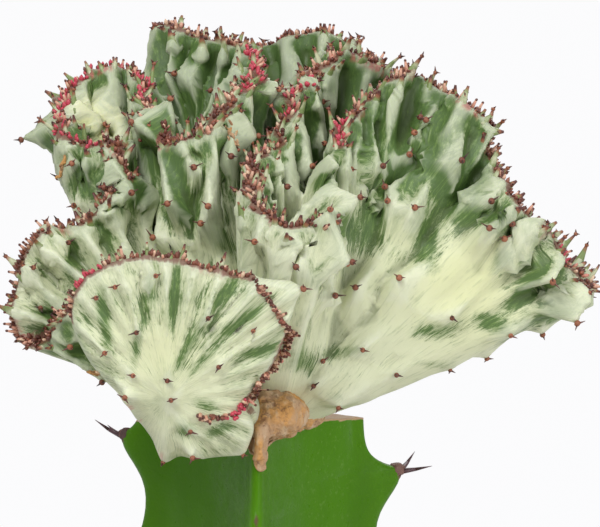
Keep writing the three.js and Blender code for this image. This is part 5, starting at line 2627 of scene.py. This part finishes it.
@dataclass(frozen=True)
class Wing:
    """One wing of the stem: its turn in degrees, its first areole and its reach above it."""

    turn: float
    areole: float
    cut: float


@dataclass
class Rootstock:
    """Three-winged green stem with a horn, a pad and two spines at each areole."""

    wings: tuple[Wing, ...] = (
        Wing(-91.0, -20.0, 30.0),
        Wing(29.0, -15.0, 26.5),
        Wing(150.0, -7.0, 31.0),
    )
    above_soil: float = 74.0
    in_soil: float = 44.0
    reach: float = 31.0
    edge: float = 3.4
    root_radius: float = 22.0
    nose_depth: float = 3.6
    hollow: float = 2.2
    bevel_start: float = 9.0
    bevel_slope: float = 0.16
    spacing: float = 27.0
    horn: tuple[tuple[float, float], ...] = (
        (0.0, 5.0), (0.04, 5.3), (0.08, 5.1), (0.13, 4.6), (0.19, 3.5), (0.25, 2.2),
        (0.3, 1.2), (0.37, 0.0), (0.45, -0.8), (0.53, -1.1), (0.62, -1.0), (0.7, -0.6),
        (0.78, 0.0), (0.84, 0.8), (0.9, 1.8), (0.95, 3.1), (1.0, 5.0),
    )
    shoulder: float = 2.4
    row: float = 0.7
    edge_steps: int = 9
    face_steps: int = 22
    spine_length: float = 7.0
    pad_lumps: tuple[tuple[tuple[float, float], tuple[float, float, float]], ...] = (
        ((-0.9, 0.5), (1.5, 1.7, 1.9)),
        ((0.2, 0.5), (1.0, 1.1, 1.3)),
        ((-1.6, -0.9), (1.3, 1.2, 1.8)),
    )
    seed: int = 3

    def wing_reach(self, wing: Wing, height: float) -> float:
        """How far a wing stands out.

        Args:
            wing: the wing.
            height: height in mm.

        Returns:
            Its reach in mm.
        """
        below = (wing.areole - height) / self.spacing
        shares, outs = zip(*self.horn)
        if below < 0:
            horn = self.reach + outs[0]
            return wing.cut + (horn - wing.cut) * math.exp((wing.areole - height) / self.shoulder)
        return self.reach + float(np.interp(below - math.floor(below), shares, outs))

    def nose(self, wing: Wing, height: float) -> tuple[Vector, Vector, float, list[Vector]]:
        """Rounded edge of a wing.

        Args:
            wing: the wing.
            height: height in mm.

        Returns:
            Direction out, direction to the side, reach, and the places round the edge.
        """
        out = turned_way(wing.turn)
        side = Vector((-out.y, out.x, 0.0))
        reach = self.wing_reach(wing, height)
        places = []
        for k in range(self.edge_steps):
            angle = math.pi * (k / (self.edge_steps - 1) - 0.5)
            inward = self.nose_depth * (1.0 - math.cos(angle))
            places.append(out * (reach - inward) + side * (self.edge / 2 * math.sin(angle)))
        return out, side, reach, places

    def ring(self, height: float) -> tuple[list[Vector], list[Vector]]:
        """Cross-section at one height.

        Args:
            height: the height in mm.

        Returns:
            Its places, and the marks that its skin is painted by.
        """
        corners = [self.nose(wing, height) for wing in self.wings]
        places, marks = [], []
        for k, (out, side, reach, nose) in enumerate(corners):
            away = abs((self.wings[k].areole - height) / self.spacing + 0.5) % 1.0 - 0.5
            bare = 1.0 if abs(away) < 0.16 and height < self.wings[k].areole + 4 else 0.72
            next_out, next_side, _, next_nose = corners[(k + 1) % len(corners)]
            for spot in nose:
                worn = float(smooth_step(spot.dot(out), reach - 1.0, reach - 0.05))
                places.append(spot)
                marks.append(Vector((1.0, worn * bare, 0.0)))
            start = out * self.root_radius + side * (self.edge / 2 + 1.1)
            end = next_out * self.root_radius - next_side * (self.edge / 2 + 1.1)
            line = [nose[-1], start, end, next_nose[0]]
            for step in range(1, self.face_steps):
                share = step / self.face_steps
                spot = along_line(line, share)
                middle = max(0.0, 1.0 - ((share - 0.5) / 0.36) ** 2)
                spot = spot * (1.0 - self.hollow * middle / max(spot.length, 1.0))
                places.append(spot)
                reach_share = min(1.0, max(0.0, (spot.length - 8.0) / (reach - 8.0)))
                marks.append(Vector((reach_share, 0.0, 0.0)))
        shaped = []
        for spot, mark in zip(places, marks):
            past = max(0.0, math.hypot(spot.x, spot.y) - self.bevel_start)
            top = -past * self.bevel_slope
            mark.z = float(smooth_step(height, top - 0.7, top - 0.1))
            shaped.append(Vector((spot.x, spot.y, min(height, top))))
        return shaped, marks

    def heights(self) -> list[float]:
        """Heights of the cross-sections, closer together at the horns.

        Returns:
            The heights in mm, rising.
        """
        low = -(self.above_soil + self.in_soil)
        found = list(np.arange(low, 0.0, self.row)) + [0.0]
        for wing in self.wings:
            z = wing.areole
            while z > low + 6:
                found += [z + 0.35, z + 0.12, z, z - 0.25, z - 0.5]
                z -= self.spacing
        kept: list[float] = []
        for z in sorted(found):
            if not kept or z - kept[-1] > 0.1:
                kept.append(float(z))
        return kept

    def areoles(self) -> list[tuple[Vector, Vector]]:
        """Place and direction of each areole above the soil.

        Returns:
            The places, in mm, and unit directions.
        """
        found = []
        reach = self.reach + self.horn[0][1]
        for wing in self.wings:
            out = turned_way(wing.turn)
            z = wing.areole
            while z > -self.above_soil + 4:
                found.append((out * reach + Vector((0, 0, z - 1.0)), out))
                z -= self.spacing
        return found

    def build(self, shared: SharedEffects) -> list[bpy.types.Object]:
        """Builds the stem, its pads and its spines.

        Args:
            shared: node groups that the finishes use.

        Returns:
            The pieces.
        """
        rows = [self.ring(z) for z in self.heights()]
        rings = np.array([[tuple(p) for p in places] for places, _ in rows])
        marks = np.array([[tuple(m) for m in made] for _, made in rows])
        bm = bmesh.new()
        add_wrapped_grid(bm, rings, {"wing": marks})
        bmesh.ops.holes_fill(bm, edges=[e for e in bm.edges if e.is_boundary])
        layer = bm.verts.layers.float_vector["wing"]
        top = [face for face in bm.faces if len(face.verts) > 4]
        bmesh.ops.triangulate(bm, faces=top)
        for vert in bm.verts:
            if vert.co.z > -0.2:
                vert[layer] = (0.2, 0.0, 1.0)
        for vert in bm.verts:
            gentle = noise.noise(vert.co * 0.05) * 0.5
            vert.co += Vector((vert.normal.x, vert.normal.y, 0.0)) * gentle * 0.4
        stem = link_piece("stem", to_mesh(bm, "stem"), StemSkin().build(shared))
        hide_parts("rootstock")
        draw = random.Random(self.seed)
        pads, spines = Stamps(rounds=3), Stamps(sides=10)
        for place, out in self.areoles():
            side = Vector((-out.y, out.x, 0.0))
            for (inward, rise), radii in self.pad_lumps:
                centre = place + out * inward + Vector((0, 0, rise))
                pads.ball(centre, radii, out, draw.uniform(0.2, 0.8), uneven=0.25)
            for hand in (-1.0, 1.0):
                way = (out + side * hand * 0.55 + Vector((0, 0, 0.35 + 0.2 * hand))).normalized()
                root = place + out * 0.2
                bend = root + way * self.spine_length * 0.5
                turned = (way + Vector((0, 0, draw.uniform(-0.1, 0.25)))).normalized()
                tip = bend + turned * self.spine_length * 0.55
                spines.peg(root - way * 1.2, bend, 0.85, 0.42, 0.3)
                spines.peg(bend, tip, 0.42, 0.05, 0.4)
        return [
            stem,
            link_piece("stem_areoles", pads.mesh("pads"), STEM_PADS.build(shared)),
            link_piece("stem_spines", spines.mesh("spines"), STEM_SPINES.build(shared)),
        ]


def turned_way(degrees: float) -> Vector:
    """Level direction by its turn about the upright axis."""
    turn = math.radians(degrees)
    return Vector((math.cos(turn), math.sin(turn), 0.0))


def along_line(line: list[Vector], share: float) -> Vector:
    """Point at a share of a broken line's length.

    Args:
        line: its corners.
        share: from 0 at its start to 1 at its end.

    Returns:
        The point.
    """
    lengths = [(b - a).length for a, b in zip(line, line[1:])]
    left = share * sum(lengths)
    for a, b, length in zip(line, line[1:], lengths):
        if left <= length:
            return a.lerp(b, left / max(length, 1e-9))
        left -= length
    return line[-1].copy()


@dataclass
class ClayPot:
    """Plain turned clay pot with a rim band and three drain holes."""

    height: float = 92.0
    top_radius: float = 56.0
    foot_radius: float = 39.0
    wall: float = 5.0
    floor: float = 7.0
    rim: float = 17.0
    step: float = 4.0
    drain_radius: float = 5.0
    drain_circle: float = 19.0
    turns: int = 144

    def radius_at(self, z: float) -> float:
        """Outer radius of the body."""
        widening = self.top_radius - self.step - self.foot_radius
        return self.foot_radius + widening * z / (self.height - self.rim)

    def profile(self) -> list[tuple[float, float]]:
        """Half section from the foot's middle, out, up, over the rim and down to the floor.

        Returns:
            Radius and height of each corner, in mm.
        """
        shoulder = self.height - self.rim
        body, outer, inner = self.radius_at(shoulder), self.top_radius, self.top_radius - self.wall
        points = [(0.0, 0.0), (self.foot_radius - 1.2, 0.0), (self.foot_radius, 1.0)]
        points += [(self.radius_at(z), z) for z in np.linspace(2.5, shoulder - 1.2, 26)]
        points += [
            (body + 0.2, shoulder - 0.3), (body + 1.2, shoulder + 0.1), (outer - 1.2, shoulder + 0.5),
            (outer - 0.2, shoulder + 1.4), (outer, shoulder + 3.0), (outer + 0.3, shoulder + 8.0),
            (outer + 0.6, self.height - 3.4), (outer + 0.5, self.height - 1.6),
            (outer - 0.4, self.height - 0.5), (outer - 1.8, self.height), (inner + 1.6, self.height),
            (inner + 0.3, self.height - 0.8), (inner, self.height - 2.4),
            (body - self.wall, shoulder),
        ]
        inside = np.linspace(shoulder - 4, self.floor + 2, 14)
        points += [(self.radius_at(z) - self.wall, z) for z in inside]
        points += [(self.radius_at(self.floor) - self.wall - 2.0, self.floor), (0.0, self.floor)]
        return points

    def build(self, shared: SharedEffects) -> list[bpy.types.Object]:
        """Builds the pot.

        Args:
            shared: node groups that its finish uses.

        Returns:
            The piece, in a list.
        """
        bm = bmesh.new()
        verts = [bm.verts.new((radius, 0.0, z)) for radius, z in self.profile()]
        edges = [bm.edges.new(pair) for pair in zip(verts, verts[1:])]
        bmesh.ops.spin(
            bm,
            geom=verts + edges,
            cent=(0, 0, 0),
            axis=(0, 0, 1),
            angle=2 * math.pi,
            steps=self.turns,
            use_merge=True,
        )
        bmesh.ops.remove_doubles(bm, verts=bm.verts, dist=1e-3)
        bmesh.ops.recalc_face_normals(bm, faces=bm.faces)
        for vert in bm.verts:
            outside = math.hypot(vert.co.x, vert.co.y)
            if vert.co.z > 2.0 and outside > self.radius_at(vert.co.z) - 1.0:
                wobble = 0.16 * noise.noise(vert.co * 0.035) + 0.07 * math.sin(vert.co.z * 1.9)
                vert.co += Vector((vert.co.x, vert.co.y, 0.0)).normalized() * min(0.0, wobble - 0.1)
        mesh = to_mesh(bm, "pot", height=0.0)
        drains = Stamps(sides=32)
        for k in range(3):
            turn = 2 * math.pi * k / 3 + math.pi / 2
            centre = Vector((math.cos(turn), math.sin(turn), 0.0)) * self.drain_circle
            past = Vector((0, 0, 3))
            ceiling = Vector((0, 0, self.floor))
            drains.peg(centre - past, centre + ceiling + past, self.drain_radius, self.drain_radius)
        cutter = bpy.data.objects.new("drains", drains.mesh("drains", height=0.0))
        bpy.context.scene.collection.objects.link(cutter)
        steps = [("BOOLEAN", {"object": cutter, "operation": "DIFFERENCE", "solver": "EXACT"})]
        pierced = with_modifiers(mesh, steps)
        bpy.data.objects.remove(cutter)
        piece = link_piece("clay_pot", pierced, Terracotta().build(shared))
        piece.data.set_sharp_from_angle(angle=math.radians(50))
        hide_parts("pot")
        return [piece]


# Kinds of crumbs: the draw above which each one comes, its three radii and its tones.
# They are pale grit, flat bark and earth.
CRUMB_KINDS = (
    (0.93, (1.1, 1.0, 0.9), (0.82, 1.0)),
    (0.74, (2.1, 0.9, 0.5), (0.5, 0.72)),
    (0.0, (1.0, 0.9, 0.8), (0.05, 0.4)),
)


@dataclass
class Soil:
    """Potting mix: a crumbly fill with bark, crumbs and pale grit on it."""

    top: float = 82.0
    depth: float = 62.0
    wall_room: float = 0.3
    turns: int = 110
    crumbs: int = 1500
    seed: int = 17
    pot: ClayPot = field(default_factory=ClayPot)

    def wall_at(self, z: float) -> float:
        """Radius of the fill."""
        return self.pot.radius_at(z) - self.pot.wall - self.wall_room

    def surface(self, x: float, y: float) -> float:
        """Height of the crumbly surface.

        Args:
            x: place to the right, in mm.
            y: place to the back, in mm.

        Returns:
            The height in mm.
        """
        out = math.hypot(x, y) / self.wall_at(self.top)
        rough = 0.9 * noise.fractal(Vector((x, y, 0)) * 0.09, 1.0, 2.0, 5)
        return self.top - 1.4 * out**3 - 0.7 + rough * 0.6

    def build(self, shared: SharedEffects) -> list[bpy.types.Object]:
        """Builds the fill and the loose crumbs.

        Args:
            shared: node groups that its finish uses.

        Returns:
            The pieces.
        """
        finish = POTTING_MIX.build(shared)
        fill = link_piece("soil_fill", self.fill_mesh(), finish)
        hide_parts("soil")
        crumbs = link_piece("soil_crumbs", self.crumb_mesh(), finish, smooth=False)
        return [fill, crumbs]

    def fill_mesh(self) -> bpy.types.Mesh:
        """The fill: its crumbly top, its wall and its floor.

        Returns:
            The mesh, in metres.
        """
        floor = self.top - self.depth
        wall = self.wall_at(self.top - 2.0)
        outline = [(wall * share, None) for share in np.linspace(0.0, 1.0, 46)]
        outline += [(self.wall_at(z), z) for z in (self.top - 5.0, self.top - 20.0, floor)]
        outline += [(self.wall_at(floor) * share, floor) for share in (0.6, 0.3, 0.0)]
        rings = []
        for turn in np.linspace(0.0, 2 * math.pi, self.turns, endpoint=False):
            ring = []
            for radius, z in outline:
                x, y = radius * math.cos(turn), radius * math.sin(turn)
                ring.append((x, y, self.surface(x, y) if z is None else z))
            rings.append(ring)
        places = np.array(rings + rings[:1])
        bm = bmesh.new()
        made = bmesh.ops.create_grid(
            bm, x_segments=places.shape[1] - 1, y_segments=self.turns, size=1.0
        )
        for vert, place in zip(made["verts"], places.reshape(-1, 3)):
            vert.co = place
        bmesh.ops.remove_doubles(bm, verts=bm.verts, dist=1e-3)
        tone = bm.verts.layers.float.new("tone")
        for vert in bm.verts:
            vert[tone] = 0.16 + 0.22 * noise.noise(vert.co * 0.35)
        return to_mesh(bm, "fill", height=0.0)

    def crumb_mesh(self) -> bpy.types.Mesh:
        """Loose crumbs, bark and grit on the fill.

        Returns:
            The mesh, in metres.
        """
        draw = random.Random(self.seed)
        stamps = Stamps(rounds=1)
        for _ in range(self.crumbs):
            turn = draw.uniform(0, 2 * math.pi)
            out = math.sqrt(draw.random()) * (self.wall_at(self.top) - 1.6)
            x, y = out * math.cos(turn), out * math.sin(turn)
            kind = draw.random()
            size = draw.uniform(0.35, 1.3)
            for share, shape, tones in CRUMB_KINDS:
                if kind > share:
                    break
            radii = tuple(size * part for part in shape)
            tone = draw.uniform(*tones)
            centre = Vector((x, y, self.surface(x, y) + radii[2] * 0.2))
            way = Vector((draw.uniform(-0.5, 0.5), draw.uniform(-0.5, 0.5), 1.0)).normalized()
            stamps.ball(centre, radii, way, tone, uneven=0.35)
        return stamps.mesh("crumbs", height=0.0)


@dataclass
class Studio:
    """Pale floor, soft light and the camera."""

    floor_radius: float = 0.42
    sensor: float = 36.0
    picture_width: int = 600
    world_light: float = 0.46
    world_seen: float = 0.52
    lamps: tuple[tuple[str, tuple[float, float, float], float, float], ...] = (
        ("key", (-0.30, -0.60, 0.95), 0.50, 7.2),
        ("fill", (0.75, -0.55, 0.35), 0.60, 3.4),
        ("back", (0.25, 0.70, 0.75), 0.50, 3.0),
    )

    def build(self, shared: SharedEffects) -> None:
        """Builds floor, world, lights and camera.

        Args:
            shared: node groups that the floor's finish uses.
        """
        bm = bmesh.new()
        bmesh.ops.create_circle(bm, cap_ends=True, segments=96, radius=self.floor_radius)
        mesh = bpy.data.meshes.new("floor")
        bm.to_mesh(mesh)
        bm.free()
        mesh.materials.append(PaleFloor().build(shared))
        floor = bpy.data.objects.new("studio_floor", mesh)
        bpy.context.scene.collection.objects.link(floor)
        self.world()
        for lamp in self.lamps:
            self.light(*lamp)
        self.camera()

    def world(self) -> None:
        """White surroundings that light the plant softly and show plain white behind it."""
        world = bpy.data.worlds.new("white studio")
        bpy.context.scene.world = world
        world.use_nodes = True
        tree = Tree(world.node_tree)
        background = world.node_tree.nodes["Background"]
        background.inputs["Color"].default_value = (0.99, 0.99, 1.0, 1.0)
        seen = tree.node("ShaderNodeLightPath").outputs["Is Camera Ray"]
        strength = tree.total(tree.times(seen, self.world_seen), self.world_light)
        tree.put(background.inputs["Strength"], strength)

    def light(
        self, name: str, place: tuple[float, float, float], size: float, power: float
    ) -> None:
        """Adds a square soft light that points at the crest.

        Args:
            name: its name.
            place: where it hangs, in metres.
            size: its side, in metres.
            power: its power in watts.
        """
        lamp = bpy.data.lights.new(name, "AREA")
        lamp.energy = power
        lamp.size = size
        holder = bpy.data.objects.new(name, lamp)
        holder.location = place
        aim = Vector((0.0, 0.0, GRAFT_HEIGHT + 0.03)) - Vector(place)
        holder.rotation_euler = aim.to_track_quat("-Z", "Y").to_euler()
        bpy.context.scene.collection.objects.link(holder)

    def camera(self) -> None:
        """Camera at the eye that the crest was measured from."""
        lens = bpy.data.cameras.new("camera")
        lens.sensor_fit = "HORIZONTAL"
        lens.sensor_width = self.sensor
        view_width = EYE.pixel * self.picture_width * MM
        lens.lens = self.sensor * EYE.distance * MM / view_width
        lens.clip_start = 0.01
        holder = bpy.data.objects.new("camera", lens)
        lift = Vector((0.0, 0.0, GRAFT_HEIGHT))
        place = EYE.place_of_eye * MM + lift
        target = EYE.target * MM + lift
        holder.location = place
        holder.rotation_euler = (target - place).to_track_quat("-Z", "Y").to_euler()
        bpy.context.scene.collection.objects.link(holder)
        bpy.context.scene.camera = holder
        bpy.context.scene.view_settings.view_transform = "Standard"


def main() -> None:
    """Builds the plant, the light and the camera."""
    logging.basicConfig(level=logging.INFO, format="%(name)s: %(message)s")
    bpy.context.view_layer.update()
    for name in ("Cube", "Light", "Camera"):
        leftover = bpy.data.objects.get(name)
        if leftover:
            bpy.data.objects.remove(leftover)
    shared = SharedEffects()
    Studio().build(shared)
    for assembly in (ClayPot(), Soil(), Rootstock(), Callus(), Crest()):
        for piece in assembly.build(shared):
            LOG.info("%s: %d faces", piece.name, len(piece.data.polygons))


if __name__ == "__main__":
    main()
